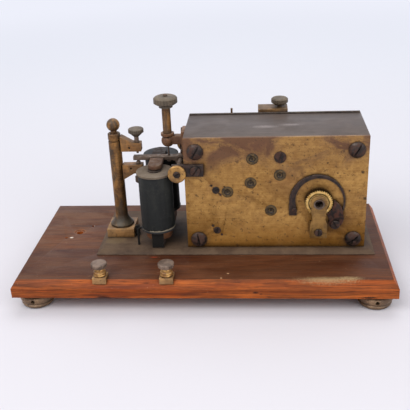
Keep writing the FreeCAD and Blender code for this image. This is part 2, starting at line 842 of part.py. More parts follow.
PHASE_GREAT = 0.0
PHASE_SECOND_PINION = meshed(PHASE_GREAT, GREAT_TEETH, BARREL, PINION_TEETH, SECOND)
PHASE_SECOND = 0.0
PHASE_THIRD_PINION = meshed(PHASE_SECOND, SECOND_TEETH, SECOND, PINION_TEETH, THIRD)
PHASE_FEED = meshed(PHASE_SECOND, SECOND_TEETH, SECOND, FEED_TEETH, FEED)
PHASE_THIRD = 0.0
PHASE_FOURTH_PINION = meshed(PHASE_THIRD, THIRD_TEETH, THIRD, PINION_TEETH, FOURTH)
PHASE_INK = meshed(PHASE_THIRD, THIRD_TEETH, THIRD, INK_TEETH, INK)


def pinion(teeth, module, centre, wheel_y, phase):
    return gear(teeth, module, centre, wheel_y - PINION_EXTRA / 2, WHEEL_T + PINION_EXTRA, phase)


def great_y():
    return INNER_FRONT + GREAT_Y


def second_y():
    return INNER_FRONT + SECOND_Y


def third_y():
    return INNER_FRONT + THIRD_Y


def mainspring_barrel():
    x, z = BARREL
    y0 = great_y()
    disc = gear(GREAT_TEETH, GREAT_M, BARREL, y0, WHEEL_T, PHASE_GREAT)
    drum = through(BARREL_R, x, z, y0 + WHEEL_T, y0 + WHEEL_T + BARREL_L)
    room = through(BARREL_R - BARREL_WALL, x, z, y0 + WHEEL_T, y0 + WHEEL_T + BARREL_L - BARREL_WALL)
    bore = through(WIND_R + RUN, x, z, y0 - 1, y0 + WHEEL_T + BARREL_L + 1)
    return disc.fuse(drum.cut(room)).cut(bore)


def second_arbor():
    body = arbor(SECOND, BACK - 0.4).fuse(pinion(PINION_TEETH, GREAT_M, SECOND, great_y(), PHASE_SECOND_PINION))
    return body.fuse(wheel(SECOND_TEETH, SECOND_M, SECOND, second_y(), PHASE_SECOND))


def third_arbor():
    body = arbor(THIRD, BACK - 0.4).fuse(pinion(PINION_TEETH, SECOND_M, THIRD, second_y(), PHASE_THIRD_PINION))
    return body.fuse(wheel(THIRD_TEETH, THIRD_M, THIRD, third_y(), PHASE_THIRD))


def fourth_arbor():
    body = arbor(FOURTH, BACK - 0.4).fuse(pinion(PINION_TEETH, THIRD_M, FOURTH, third_y(), PHASE_FOURTH_PINION))
    return body.fuse(worm_wheel())


def worm_wheel():
    """Small spur wheel that the worm drives; its tooth points at the worm's axis."""
    module = WORM_LEAD / math.pi
    return gear(WORM_TEETH, module, FOURTH, FLY[1] - WHEEL_T / 2, WHEEL_T, 180.0)


def feed_arbor():
    end = BACK + FEED_ROLL_GAP + FEED_ROLL_L
    x, z = FEED
    body = arbor(FEED, end).fuse(pinion(FEED_TEETH, SECOND_M, FEED, second_y(), PHASE_FEED))
    return body.fuse(through(FEED_ROLL_R, x, z, end - FEED_ROLL_L, end))


def ink_arbor():
    start = BACK + FEED_ROLL_GAP
    x, z = INK
    body = arbor(INK, start + INK_WHEEL_T + 1).fuse(pinion(INK_TEETH, THIRD_M, INK, third_y(), PHASE_INK))
    return body.fuse(through(INK_WHEEL_R, x, z, start, start + INK_WHEEL_T))


def worm_thread():
    """Helical thread round the fly's arbor, with a gap in line with the wheel's tooth."""
    height = WORM_LEAD * WORM_TURNS
    low = FOURTH[1] - height / 2
    helix = Part.makeHelix(WORM_LEAD, height, WORM_CORE_R)
    half = WORM_LEAD * WORM_FILL / 2
    root = WORM_CORE_R - 0.3
    section = Part.Wire(Part.makePolygon([V(root, 0, -half), V(WORM_CREST_R, 0, -half * 0.6),
                                          V(WORM_CREST_R, 0, half * 0.6), V(root, 0, half), V(root, 0, -half)]))
    thread = Part.Wire(helix.Edges).makePipeShell([section], True, True)
    thread.translate(V(FLY[0], FLY[1], low + WORM_LEAD / 2))
    return thread


def fly_ends():
    return (DECK + FLY_COCK_LOW - 6.5 + FLY_COCK_T, DECK + FLY_COCK_HIGH + 8.5)


def fly():
    low, high = fly_ends()
    x, y = FLY
    body = upright(FLY_ARBOR_R, x, y, low + ENDSHAKE, high - ENDSHAKE)
    body = body.fuse(upright(FLY_PIVOT_R, x, y, low - FLY_COCK_T * 0.7, high + FLY_COCK_T * 0.7))
    half = WORM_LEAD * (WORM_TURNS / 2 + 0.75)
    body = body.fuse(upright(WORM_CORE_R, x, y, FOURTH[1] - half, FOURTH[1] + half))
    body = body.fuse(worm_thread())
    hub = upright(FLY_ARBOR_R + 0.8, x, y, DECK + FLY_LOW, DECK + FLY_HIGH)
    vane = block(x - FLY_R, x + FLY_R, y - FLY_VANE_T / 2, y + FLY_VANE_T / 2, DECK + FLY_LOW, DECK + FLY_HIGH)
    return body.fuse(hub).fuse(vane)


def fly_cocks():
    low, high = fly_ends()
    x, y = FLY
    result = []
    arm_far = y + 4.0
    for index, (screw, first, second) in enumerate(fly_cock_places()):
        foot_low = screw[1] - FLY_COCK_HALF if index == 0 else low - FLY_COCK_T
        foot_high = high + FLY_COCK_T if index == 0 else screw[1] + FLY_COCK_HALF
        arm_low = high if index == 0 else low - FLY_COCK_T
        half = FLY_COCK_W / 2
        foot = block(x - half, x + half, INNER_FRONT, INNER_FRONT + FLY_COCK_T, foot_low, foot_high)
        arm = block(x - half, x + half, INNER_FRONT, arm_far, arm_low, arm_low + FLY_COCK_T)
        cock = foot.fuse(arm).removeSplitter()
        cuts = [upright(FLY_PIVOT_R + RUN, x, y, arm_low - 1, arm_low + FLY_COCK_T + 1)]
        cuts.append(through(FLY_COCK_SCREW_R + RUN, screw[0], screw[1], FRONT, INNER_FRONT + FLY_COCK_T + 1))
        for pin in (first, second):
            cuts.append(through(STEADY_R + SEAT, pin[0], pin[1], FRONT, INNER_FRONT + FLY_COCK_T + 1))
        result.append(cock.cut(cuts))
    return result


def fly_cock_screws():
    result = []
    for index, (screw, first, second) in enumerate(fly_cock_places()):
        result.append(flat_screw(V(screw[0], FRONT, screw[1]), -Y_AXIS, FLY_COCK_HEAD_R, 0.9,
                                 FLY_COCK_SCREW_R, SIDE_T + FLY_COCK_T, 20 + 60 * index))
        for pin in (first, second):
            result.append(through(STEADY_R, pin[0], pin[1], FRONT - 0.3, INNER_FRONT + FLY_COCK_T))
    return result


# Winding arbor, ratchet, click and cock

def winding_arbor():
    x, z = BARREL
    body = through(WIND_R, x, z, COCK_FRONT - 0.2, BACK + 0.6)
    return body.cut(through(WIND_SOCKET_R, x, z, COCK_FRONT - 1, COCK_FRONT + WIND_SOCKET_L))


def ratchet_wheel():
    x, z = BARREL
    points = []
    for index in range(RATCHET_TEETH):
        start = 360.0 * index / RATCHET_TEETH + CLICK_BEARING
        points.append(away(BARREL, RATCHET_R - RATCHET_DEPTH, start))
        points.append(away(BARREL, RATCHET_R, start + 0.8 * 360.0 / RATCHET_TEETH))
        points.append(away(BARREL, RATCHET_R, start + 0.9 * 360.0 / RATCHET_TEETH))
    disc = slab(points, RATCHET_FRONT, RATCHET_T)
    groove = through(RATCHET_GROOVE_R, x, z, RATCHET_FRONT - 1, RATCHET_FRONT + RATCHET_GROOVE_T)
    groove = groove.cut(through(RATCHET_GROOVE_R - RATCHET_GROOVE_W, x, z, RATCHET_FRONT - 2, RATCHET_FRONT + 2))
    return disc.cut([groove, through(WIND_R + SEAT, x, z, RATCHET_FRONT - 1, RATCHET_BACK + 1)])


def winding_cock():
    x, z = BARREL
    foot_top = z - COCK_FOOT_TOP
    foot_low = z - COCK_FOOT_BOTTOM
    half = COCK_FOOT_W / 2
    waist = COCK_WAIST_W / 2
    foot = block(x - half, x + half, COCK_FRONT, FRONT, foot_low, foot_top)
    strap = slab([(x - half, foot_low), (x + half, foot_low), (x + half, foot_top), (x + waist, foot_top + 5),
                  (x + COCK_TOP_R * 0.96, z), ((x, z + COCK_TOP_R), (x - COCK_TOP_R * 0.96, z)),
                  (x - waist, foot_top + 5), (x - half, foot_top)], COCK_FRONT, COCK_T)
    screw_x, screw_z = cock_foot_place()
    cuts = [through(WIND_R + RUN, x, z, COCK_FRONT - 1, COCK_BACK + 1)]
    cuts.append(through(COCK_SCREW_R + RUN, screw_x, screw_z, COCK_FRONT - 1, FRONT + 1))
    return foot.fuse(strap).removeSplitter().cut(cuts)


def winding_cock_screw():
    x, z = cock_foot_place()
    length = INNER_FRONT + 1.0 - COCK_FRONT
    return flat_screw(V(x, COCK_FRONT, z), -Y_AXIS, COCK_SCREW_HEAD_R, 1.4, COCK_SCREW_R, length, 90)


def click_front():
    return RATCHET_BACK - CLICK_T


def click():
    """Leaf-shaped pawl whose nib stands in one gap of the ratchet."""
    px, pz = click_place()
    x, z = BARREL
    clear = RATCHET_R + CLICK_ROOM
    low = (px - 0.5, pz - 4.4)
    left = away(BARREL, clear, -58.0)
    near = away(BARREL, clear, CLICK_BEARING - CLICK_NIB_HIGH)
    beyond = away(BARREL, clear, CLICK_BEARING + 5.0)
    nib_low = away(BARREL, RATCHET_R - RATCHET_DEPTH + CLICK_NIB_ROOM, CLICK_BEARING + CLICK_NIB_LOW)
    nib_high = away(BARREL, RATCHET_R + CLICK_NIB_ROOM / 2, CLICK_BEARING + CLICK_NIB_HIGH)
    tip = away(BARREL, clear, 3.0)
    belly = (px + 6.2, pz + 7.6)
    points = [low, ((px - 4.6, pz - 1.2), (px - 4.4, pz + 3.0)), left, (away(BARREL, clear, -42.0), near),
              nib_low, nib_high, beyond, (away(BARREL, clear, CLICK_BEARING + 14.0), tip),
              (tip[0] + 0.9, tip[1] + 0.2), ((px + 4.6, pz + 14.0), belly), ((px + 4.8, pz - 0.6), low)]
    body = slab(points, click_front(), CLICK_T)
    return body.cut(through(CLICK_PIN_R + RUN, px, pz, FRONT - 10, FRONT + 1))


def click_screw():
    x, z = click_place()
    length = INNER_FRONT + 1.0 - click_front() + AIR
    return flat_screw(V(x, click_front() - AIR, z), -Y_AXIS, CLICK_HEAD_R, 1.6, CLICK_PIN_R, length, 120)


def click_spring():
    """Crescent leaf, screwed down at its broad left end and free at its thin right end."""
    outer = CLICK_SPRING_R
    foot = CLICK_SPRING_FOOT
    tip = CLICK_SPRING_TIP
    top_mid = (foot + 90) / 2
    tip_mid = (tip + 90) / 2
    wide = outer - CLICK_SPRING_FOOT_W
    thin = outer - CLICK_SPRING_TOP_W
    last = outer - CLICK_SPRING_TIP_W
    points = [away(BARREL, outer, foot), (away(BARREL, outer, (foot + tip) / 2), away(BARREL, outer, tip)),
              away(BARREL, last, tip), (away(BARREL, (thin + last) / 2, tip_mid), away(BARREL, thin, 90)),
              (away(BARREL, (thin + wide) / 2, top_mid), away(BARREL, wide, foot - 25)), away(BARREL, wide, foot)]
    body = slab(points, FRONT - CLICK_SPRING_T, CLICK_SPRING_T)
    x, z = click_spring_screw_place()
    return body.cut(through(CLICK_SPRING_SCREW_R + RUN, x, z, FRONT - 10, FRONT + 1))


def click_spring_screw():
    x, z = click_spring_screw_place()
    length = CLICK_SPRING_T + SIDE_T + 1.0
    return flat_screw(V(x, FRONT - CLICK_SPRING_T, z), -Y_AXIS, CLICK_SPRING_HEAD_R, 1.0,
                      CLICK_SPRING_SCREW_R, length, 45)


def front_screws():
    single = [blind_screw(), winding_cock_screw(), click_screw(), click_spring_screw()]
    return single + fly_cock_screws()


# Armature lever and what carries it

def armature_lever():
    half = LEVER_W / 2
    bar = block(LEVER_END_X, PIVOT.x, LINE_Y - half, LINE_Y + half, LEVER_LOW, LEVER_HIGH)
    boss = through(LEVER_BOSS_R, PIVOT.x, PIVOT.z, LINE_Y - half, LINE_Y + half)
    gusset = slab([(PIVOT.x - 7.5, LEVER_LOW), (PIVOT.x, PIVOT.z - 3), (PIVOT.x, LEVER_HIGH)], LINE_Y - half, LEVER_W)
    half_arm = ARMATURE_W / 2 + SEAT
    lap = block(MAGNET_X - half_arm, MAGNET_X + half_arm, LINE_Y - half - 1, LINE_Y + half + 1,
                LEVER_LOW - 1, LEVER_HIGH - LAP)
    cuts = [lap, through(LEVER_ARBOR_R + SEAT, PIVOT.x, PIVOT.z, LINE_Y - half - 1, LINE_Y + half + 1)]
    cuts.append(upright(HOOK_R + HOOK_ROOM, TENSION_X, LINE_Y, LEVER_LOW - 6, LEVER_HIGH + 1))
    return bar.fuse([boss, gusset]).removeSplitter().cut(cuts)


def armature():
    """Soft-iron bar across the two cores, half lapped into the lever."""
    reach = ARMATURE_L / 2 - ARMATURE_W / 2
    half = ARMATURE_W / 2
    body = block(MAGNET_X - half, MAGNET_X + half, LINE_Y - reach, LINE_Y + reach, ARMATURE_LOW, ARMATURE_HIGH)
    for end in (-1, 1):
        body = body.fuse(upright(half, MAGNET_X, LINE_Y + end * reach, ARMATURE_LOW, ARMATURE_HIGH))
    lap = block(MAGNET_X - half - 1, MAGNET_X + half + 1, LINE_Y - LEVER_W / 2 - SEAT, LINE_Y + LEVER_W / 2 + SEAT,
                LEVER_HIGH - LAP, LEVER_HIGH + 1)
    return body.removeSplitter().cut(lap)


def lever_arbor():
    return through(LEVER_ARBOR_R, PIVOT.x, PIVOT.z, FRONT - LEVER_COCK_T + 0.3, BACK + LEVER_COCK_T - 0.3)


def lever_cock_span(rear):
    return (BACK, BACK + LEVER_COCK_T) if rear else (FRONT - LEVER_COCK_T, FRONT)


def lever_cocks():
    result = []
    middle = PIVOT.z + LEVER_COCK_UP
    for rear in (False, True):
        y0, y1 = lever_cock_span(rear)
        left = PIVOT.x - LEVER_HUB_R * 0.6
        body = block(left, CASE_LEFT + LEVER_COCK_IN, y0, y1, middle - LEVER_COCK_H / 2, middle + LEVER_COCK_H / 2)
        sx, sz = lever_cock_screw_place()
        cuts = [through(LEVER_ARBOR_R + RUN, PIVOT.x, PIVOT.z, y0 - 1, y1 + 1)]
        cuts.append(through(LEVER_COCK_SCREW_R + RUN, sx, sz, y0 - 1, y1 + 1))
        result.append(body.cut(cuts))
    return result


def lever_hubs():
    result = []
    for rear in (False, True):
        y0, y1 = lever_cock_span(rear)
        face, axis = (y1, Y_AXIS) if rear else (y0, -Y_AXIS)
        t = LEVER_HUB_T
        r = LEVER_HUB_R
        hub = turned([(PIVOT_SCREW_R + RUN, 0), (r, 0), (r, t * 0.6), ((r * 0.95, t * 0.9), (r * 0.84, t)),
                      (PIVOT_SCREW_R + RUN, t)], V(PIVOT.x, face, PIVOT.z), axis)
        result.append(hub)
    return result


def pivot_screws():
    result = []
    for rear in (False, True):
        y0, y1 = lever_cock_span(rear)
        face, axis = (y1, Y_AXIS) if rear else (y0, -Y_AXIS)
        start = V(PIVOT.x, face, PIVOT.z)
        top = LEVER_HUB_T + PIVOT_SCREW_H
        body = turned([(0, 0), (PIVOT_SCREW_R, 0), (PIVOT_SCREW_R, top - 0.4), (PIVOT_SCREW_R - 0.4, top), (0, top)],
                      start, axis)
        result.append(body.cut(slot(start + axis * top, axis, PIVOT_SCREW_R + 1, 0.8, 0.8, 35)))
    return result


def lever_cock_screws():
    result = []
    x, z = lever_cock_screw_place()
    for rear in (False, True):
        y0, y1 = lever_cock_span(rear)
        face, axis = (y1, Y_AXIS) if rear else (y0, -Y_AXIS)
        result.append(flat_screw(V(x, face, z), axis, LEVER_COCK_HEAD_R, 1.8, LEVER_COCK_SCREW_R,
                                 LEVER_COCK_T + SIDE_T + 1.5, 55))
    return result


# Electromagnet

def core_places():
    return [(MAGNET_X, LINE_Y - MAGNET_PITCH / 2), (MAGNET_X, LINE_Y + MAGNET_PITCH / 2)]


def yoke_top():
    return DECK + YOKE_UP + YOKE_T


def cheek_top():
    return CORE_TOP - 0.6


def magnet_cores():
    return [upright(CORE_R, x, y, DECK, CORE_TOP) for x, y in core_places()]


def magnet_yoke():
    reach = YOKE_L / 2 - YOKE_W / 2
    half = YOKE_W / 2
    low = DECK + YOKE_UP
    body = block(MAGNET_X - half, MAGNET_X + half, LINE_Y - reach, LINE_Y + reach, low, yoke_top())
    for end in (-1, 1):
        body = body.fuse(upright(half, MAGNET_X, LINE_Y + end * reach, low, yoke_top()))
    cuts = [upright(CORE_R + SEAT, x, y, low - 1, yoke_top() + 1) for x, y in core_places()]
    return body.removeSplitter().cut(cuts)


def ringed(radius, bore, x, y, z0, z1):
    return upright(radius, x, y, z0, z1).cut(upright(bore, x, y, z0 - 1, z1 + 1))


def coil_cheeks():
    result = []
    for x, y in core_places():
        result.append(ringed(WRAP_END_R, CORE_R + SEAT, x, y, yoke_top(), yoke_top() + CHEEK_T))
        result.append(ringed(CHEEK_R, CORE_R + SEAT, x, y, cheek_top() - CHEEK_T, cheek_top()))
    return result


def coil_wraps():
    low = yoke_top() + CHEEK_T
    high = cheek_top() - CHEEK_T
    return [ringed(WRAP_R, CORE_R + SEAT, x, y, low, high) for x, y in core_places()]


def coil_leads():
    """Stiff covered wires from each coil's foot down into the deck."""
    result = []
    for index, (x, y) in enumerate(core_places()):
        side = -1 if index == 0 else 1
        reach = math.sqrt(WRAP_END_R ** 2 - (LEAD_OFFSET - LEAD_R) ** 2) + SEAT
        start = V(x - reach, y + side * LEAD_OFFSET, yoke_top() + CHEEK_T - LEAD_R)
        down = V(start.x - LEAD_OUT, start.y, start.z)
        end = V(down.x, down.y, DECK)
        bend = LEAD_BEND
        first = down - V(-bend, 0, 0)
        last = down - V(0, 0, bend)
        middle = down + V(bend * (1 - math.sqrt(0.5)), 0, -bend * (1 - math.sqrt(0.5)))
        path = Part.Wire([Part.LineSegment(start, first).toShape(), Part.Arc(first, middle, last).toShape(),
                          Part.LineSegment(last, end).toShape()])
        circle = Part.Wire(Part.makeCircle(LEAD_R, start, X_AXIS))
        result.append(path.makePipeShell([circle], True, True))
    return result


# Stop post

def stop_block():
    half = POST_BLOCK_W / 2
    body = block(POST_X - half, POST_X + half, LINE_Y - half, LINE_Y + half, DECK, DECK + POST_BLOCK_H)
    return body.cut(upright(POST_NECK_R + RUN, POST_X, LINE_Y, DECK + 1.5, DECK + POST_BLOCK_H + 1))


def arm_tenon(z0, z1, slack):
    half = TENON_W / 2 + slack
    start = POST_X + POST_R - TENON_L - slack
    return block(start, POST_X + POST_R + 1, LINE_Y - half, LINE_Y + half, z0 - slack, z1 + slack)


def upper_arm_span():
    return (DECK + ARM_UPPER_Z, DECK + ARM_UPPER_Z + ARM_ROOT_H)


def lower_arm_span():
    return (DECK + ARM_LOWER_Z - ARM_ROOT_H, DECK + ARM_LOWER_Z)


def post_top():
    return DECK + POST_TOP


def stop_post():
    low = DECK + POST_BLOCK_H
    top = post_top()
    neck = top - POST_CAP_H
    r = POST_R
    ball = top + POST_NECK_H + BALL_R * 0.93
    join = math.sqrt(BALL_R ** 2 - POST_NECK_R ** 2)
    side = math.sqrt(0.5) * BALL_R
    crown = math.sqrt(BALL_R ** 2 - BALL_TIP_R ** 2)
    post = turned([(0, low - 5), (POST_NECK_R, low - 5), (POST_NECK_R, low), (POST_BELL_R, low), (POST_BELL_R, low + 1.6),
                   ((r + 1.6, low + POST_BELL_H * 0.55), (r, low + POST_BELL_H)), (r, neck - POST_GROOVE_H),
                   (POST_GROOVE_R, neck - POST_GROOVE_H + 0.3), (POST_GROOVE_R, neck - 0.3), (r, neck),
                   (r, top - 0.6), (r - 0.6, top), (POST_NECK_R * 1.2, top), (POST_NECK_R * 1.2, top + 0.7),
                   (POST_NECK_R, top + 1.1), (POST_NECK_R, ball - join), ((BALL_R, ball), (side, ball + side)),
                   ((BALL_R * 0.383, ball + BALL_R * 0.924), (BALL_TIP_R, ball + crown)), (0, ball + crown)],
                  V(POST_X, LINE_Y, 0))
    return post.cut([arm_tenon(low_z, high_z, SEAT) for low_z, high_z in (upper_arm_span(), lower_arm_span())])


def stop_arm(upper):
    """Tapered arm; its flat edge faces the lever and its sloped edge faces away."""
    z0, z1 = upper_arm_span() if upper else lower_arm_span()
    flat, far = (z0, z1) if upper else (z1, z0)
    way = 1 if upper else -1
    tip = flat + way * ARM_TIP_H
    root = POST_X + POST_R + SEAT
    knee = POST_X + ARM_KNEE
    end = POST_X + ARM_REACH
    body = slab([(root, flat), (end, flat), (end, tip), (knee, tip + way * 0.6), (root, far)], LINE_Y - ARM_W / 2, ARM_W)
    body = body.fuse(arm_tenon(z0, z1, 0.0).cut(block(root + 0.5, root + 9, LINE_Y - 9, LINE_Y + 9, z0 - 1, z1 + 1)))
    cuts = [upright(STOP_R + RUN, POST_X + ARM_BORE_X, LINE_Y, z0 - 9, z1 + 9)]
    hole_z = flat + way * ARM_TIP_H * 0.45
    cuts.append(through(ARM_HOLE_R, POST_X + ARM_HOLE_X, hole_z, LINE_Y - ARM_W, LINE_Y + ARM_W))
    return body.removeSplitter().cut(cuts)


def stop_x():
    return POST_X + ARM_BORE_X


def upper_stop_top():
    return upper_arm_span()[0] + ARM_TIP_H + KNOB_UP


def upper_stop_screw():
    tip = LEVER_HIGH + STOP_PLAY
    top = upper_stop_top()
    return turned([(0, tip), (STOP_TIP_R, tip), (STOP_TIP_R, tip + STOP_TIP_L * 0.5), (STOP_R, tip + STOP_TIP_L),
                   (STOP_R, top), (0, top)], V(stop_x(), LINE_Y, 0))


def upper_stop_knob():
    r = KNOB_R
    h = KNOB_CONE_H
    place = V(stop_x(), LINE_Y, upper_stop_top())
    body = turned([(0, 0), (STOP_R + 0.6, 0), (r * 0.9, h), (r, h + 0.4), (r, h + KNOB_H - 0.5),
                   (r * 0.92, h + KNOB_H), (0, h + KNOB_H)], place)
    return knurled(body, place, Z_AXIS, r, h, h + KNOB_H)


def lower_stop_screw():
    top = LEVER_LOW - 0.02
    under = lower_arm_span()[1] - ARM_TIP_H - LOWER_HEAD_DOWN
    low = under - LOWER_HEAD_H
    r = LOWER_HEAD_R
    place = V(stop_x(), LINE_Y, 0)
    body = turned([(0, low), (r - 0.5, low), (r, low + 0.5), (r, under), (STOP_R, under), (STOP_R, top - STOP_TIP_L),
                   (STOP_TIP_R, top - STOP_TIP_L * 0.5), (STOP_TIP_R, top), (0, top)], place)
    return knurled(body, place, Z_AXIS, r, low, under)


# Tension post

def tension_screw_places():
    """Y and Z of the flange's two screws."""
    middle = DECK + (TENSION_FLANGE_LOW + TENSION_FLANGE_HIGH) / 2
    reach = (TENSION_FLANGE_HIGH - TENSION_FLANGE_LOW) / 2 - TENSION_SCREW_HEAD_R - AIR
    side = TENSION_FLANGE_W / 2 - TENSION_SCREW_HEAD_R - AIR
    return [(LINE_Y - side, middle - reach), (LINE_Y + side, middle + reach)]


def boss_z():
    return DECK + TENSION_BOSS_Z


def tension_bracket():
    half = TENSION_FLANGE_W / 2
    flange = block(CASE_LEFT - TENSION_FLANGE_T, CASE_LEFT, LINE_Y - half, LINE_Y + half,
                   DECK + TENSION_FLANGE_LOW, DECK + TENSION_FLANGE_HIGH)
    arm_half = TENSION_ARM_W / 2
    mid = boss_z() + 1.0
    arm = block(TENSION_X, CASE_LEFT - 1, LINE_Y - arm_half, LINE_Y + arm_half,
                mid - TENSION_ARM_H / 2, mid + TENSION_ARM_H / 2)
    boss = Part.makeSphere(TENSION_BOSS_R, V(TENSION_X, LINE_Y, boss_z()))
    ring_low = boss_z() + TENSION_BOSS_R - 0.8
    ring = upright(TENSION_RING_R, TENSION_X, LINE_Y, ring_low, ring_low + TENSION_RING_H)
    cuts = [upright(TENSION_BORE_R, TENSION_X, LINE_Y, boss_z() - 9, ring_low + TENSION_RING_H + 9)]
    for y, z in tension_screw_places():
        cuts.append(rod(TENSION_SCREW_R + RUN, V(CASE_LEFT - 9, y, z), V(CASE_LEFT + 1, y, z)))
    return flange.fuse([arm, boss, ring]).removeSplitter().cut(cuts)


def tension_screws():
    result = []
    for y, z in tension_screw_places():
        result.append(flat_screw(V(CASE_LEFT - TENSION_FLANGE_T, y, z), -X_AXIS, TENSION_SCREW_HEAD_R, 1.2,
                                 TENSION_SCREW_R, TENSION_FLANGE_T + COVER_T + 2, 15))
    return result


def tube_low():
    return boss_z() + TENSION_BOSS_R - 0.8 + TENSION_RING_H


def tube_top():
    return DECK + TENSION_TUBE_TOP


def tension_tube():
    return ringed(TENSION_TUBE_R, TENSION_BORE_R, TENSION_X, LINE_Y, tube_low(), tube_top())


def knob_low():
    return tube_top() + RUN


def tension_knob():
    r = TENSION_KNOB_R
    c = TENSION_COLLAR_H
    h = TENSION_KNOB_H
    place = V(TENSION_X, LINE_Y, knob_low())
    body = turned([(TENSION_ROD_R + RUN, 0), (TENSION_COLLAR_R, 0), (TENSION_COLLAR_R, c), (r * 0.8, c),
                   (r, c + h * 0.2), (r, c + h * 0.75), (r * 0.9, c + h * 0.9), (r * 0.75, c + h),
                   (TENSION_ROD_R + RUN, c + h)], place)
    return knurled(body, place, Z_AXIS, r, c + h * 0.2, c + h * 0.75)


def tension_rod():
    top = knob_low() + TENSION_COLLAR_H + TENSION_KNOB_H + TENSION_ROD_UP
    low = DECK + TENSION_ROD_LOW
    return turned([(0, low), (TENSION_ROD_R, low), (TENSION_ROD_R, top - 0.6), (TENSION_ROD_R - 0.6, top), (0, top)],
                  V(TENSION_X, LINE_Y, 0))


def biarc(start, start_way, end, end_way):
    """Two arcs that join smoothly between two points with given directions."""
    chord = end - start
    ways = start_way + end_way
    spread = 2 * (1 - start_way.dot(end_way))
    along = chord.dot(ways)
    reach = (math.sqrt(along ** 2 + spread * chord.dot(chord)) - along) / spread
    middle = (start + start_way * reach + end - end_way * reach) * 0.5
    return [arc_from(start, start_way, middle), arc_from(end, end_way * -1, middle, True)]


def arc_from(start, way, end, reverse=False):
    chord = end - start
    side = way - chord * (way.dot(chord) / chord.dot(chord))
    turn = way.getAngle(chord)
    middle = start + chord * 0.5
    if side.Length > 1e-9:
        middle = middle + side.normalize() * (chord.Length / 2 * math.tan(turn / 2))
    if reverse:
        return Part.Arc(end, middle, start).toShape()
    return Part.Arc(start, middle, end).toShape()


def tension_spring():
    """Coil inside the tube, between the rod and the hook's head."""
    low = DECK + TENSION_SPRING_LOW + TENSION_SPRING_WIRE
    high = DECK + TENSION_ROD_LOW - TENSION_SPRING_WIRE
    pitch = (high - low) / TENSION_SPRING_TURNS
    radius = TENSION_SPRING_R - TENSION_SPRING_WIRE
    points = []
    ways = []
    for quarter in range(4 * TENSION_SPRING_TURNS + 1):
        turn = quarter * math.pi / 2
        points.append(V(TENSION_X + radius * math.cos(turn), LINE_Y + radius * math.sin(turn), low + pitch * quarter / 4))
        ways.append(V(-radius * math.sin(turn), radius * math.cos(turn), pitch / (2 * math.pi)).normalize())
    edges = []
    for index in range(len(points) - 1):
        edges += biarc(points[index], ways[index], points[index + 1], ways[index + 1])
    section = Part.Wire(Part.makeCircle(TENSION_SPRING_WIRE, points[0], ways[0]))
    print("tension spring: least gap", round(pitch - 2 * TENSION_SPRING_WIRE, 2))
    return Part.Wire(edges).makePipeShell([section], True, False)


def spring_hook():
    """Wire from the spring's lower end through the lever, with a bead under it."""
    top = DECK + TENSION_SPRING_LOW - 0.05
    low = LEVER_LOW - AIR - HOOK_BEAD_H
    r = TENSION_SPRING_R - 0.1
    return turned([(0, low), (HOOK_BEAD_R, low), (HOOK_BEAD_R, low + HOOK_BEAD_H), (HOOK_R, low + HOOK_BEAD_H),
                   (HOOK_R, top - 1.0), (r, top - 1.0), (r, top), (0, top)], V(TENSION_X, LINE_Y, 0))


# Paper gear behind the case

def bracket_screw_places():
    x0 = BRACKET_X - BRACKET_W / 2 + 4.0
    x1 = BRACKET_X + BRACKET_W / 2 - 4.0
    low = DECK + BRACKET_HIGH - BRACKET_SHELF_T - 6.0
    guide_z = DECK + GUIDE_LOW + GUIDE_H / 2
    return [((x0, low), BRACKET_SCREW_R), ((x1, low), BRACKET_SCREW_R), ((GUIDE_X, guide_z), BRACKET_SCREW_R)]


def rear_bracket():
    x0 = BRACKET_X - BRACKET_W / 2
    x1 = BRACKET_X + BRACKET_W / 2
    high = DECK + BRACKET_HIGH
    low = high - BRACKET_SHELF_T - 9.0
    plate = block(x0, x1, BACK, BACK + BRACKET_T, low, high)
    shelf = block(x0, x1, BACK, BACK + BRACKET_SHELF_D, high - BRACKET_SHELF_T, high)
    cuts = [upright(PRESS_SCREW_R + RUN, PRESS_SCREW_X, BACK + PRESS_SCREW_Y, high - 9, high + 1)]
    for (x, z), radius in bracket_screw_places()[:2]:
        cuts.append(through(radius + RUN, x, z, BACK - 1, BACK + BRACKET_T + 1))
    return plate.fuse(shelf).removeSplitter().cut(cuts)


def paper_guide():
    low = DECK + GUIDE_LOW
    body = block(GUIDE_X - GUIDE_W / 2, GUIDE_X + GUIDE_W / 2, BACK, BACK + GUIDE_Y + 3, low, low + GUIDE_H)
    (x, z), radius = bracket_screw_places()[2]
    pin = upright(GUIDE_PIN_R, GUIDE_X, BACK + GUIDE_Y + 1.2, low + GUIDE_H - 1, DECK + GUIDE_PIN_TOP)
    return body.fuse(pin).cut(through(radius + RUN, x, z, BACK - 1, BACK + GUIDE_Y + 4))


def rear_screws():
    result = []
    for index, ((x, z), radius) in enumerate(bracket_screw_places()):
        face = BACK + (BRACKET_T if index < 2 else GUIDE_Y + 3)
        result.append(flat_screw(V(x, face, z), Y_AXIS, BRACKET_SCREW_HEAD_R, 1.2, radius,
                                 face - BACK + SIDE_T + 1, 30 * index))
    px, pz = press_pivot_place()
    face = press_arm_span()[1] + AIR
    result.append(flat_screw(V(px, face, pz), Y_AXIS, PRESS_PIVOT_HEAD_R, 1.6, PRESS_PIVOT_R,
                             face - BACK + SIDE_T + 1, 75))
    return result


def press_tab_low():
    return press_roll_place()[1] + PRESS_ROLL_R + AIR


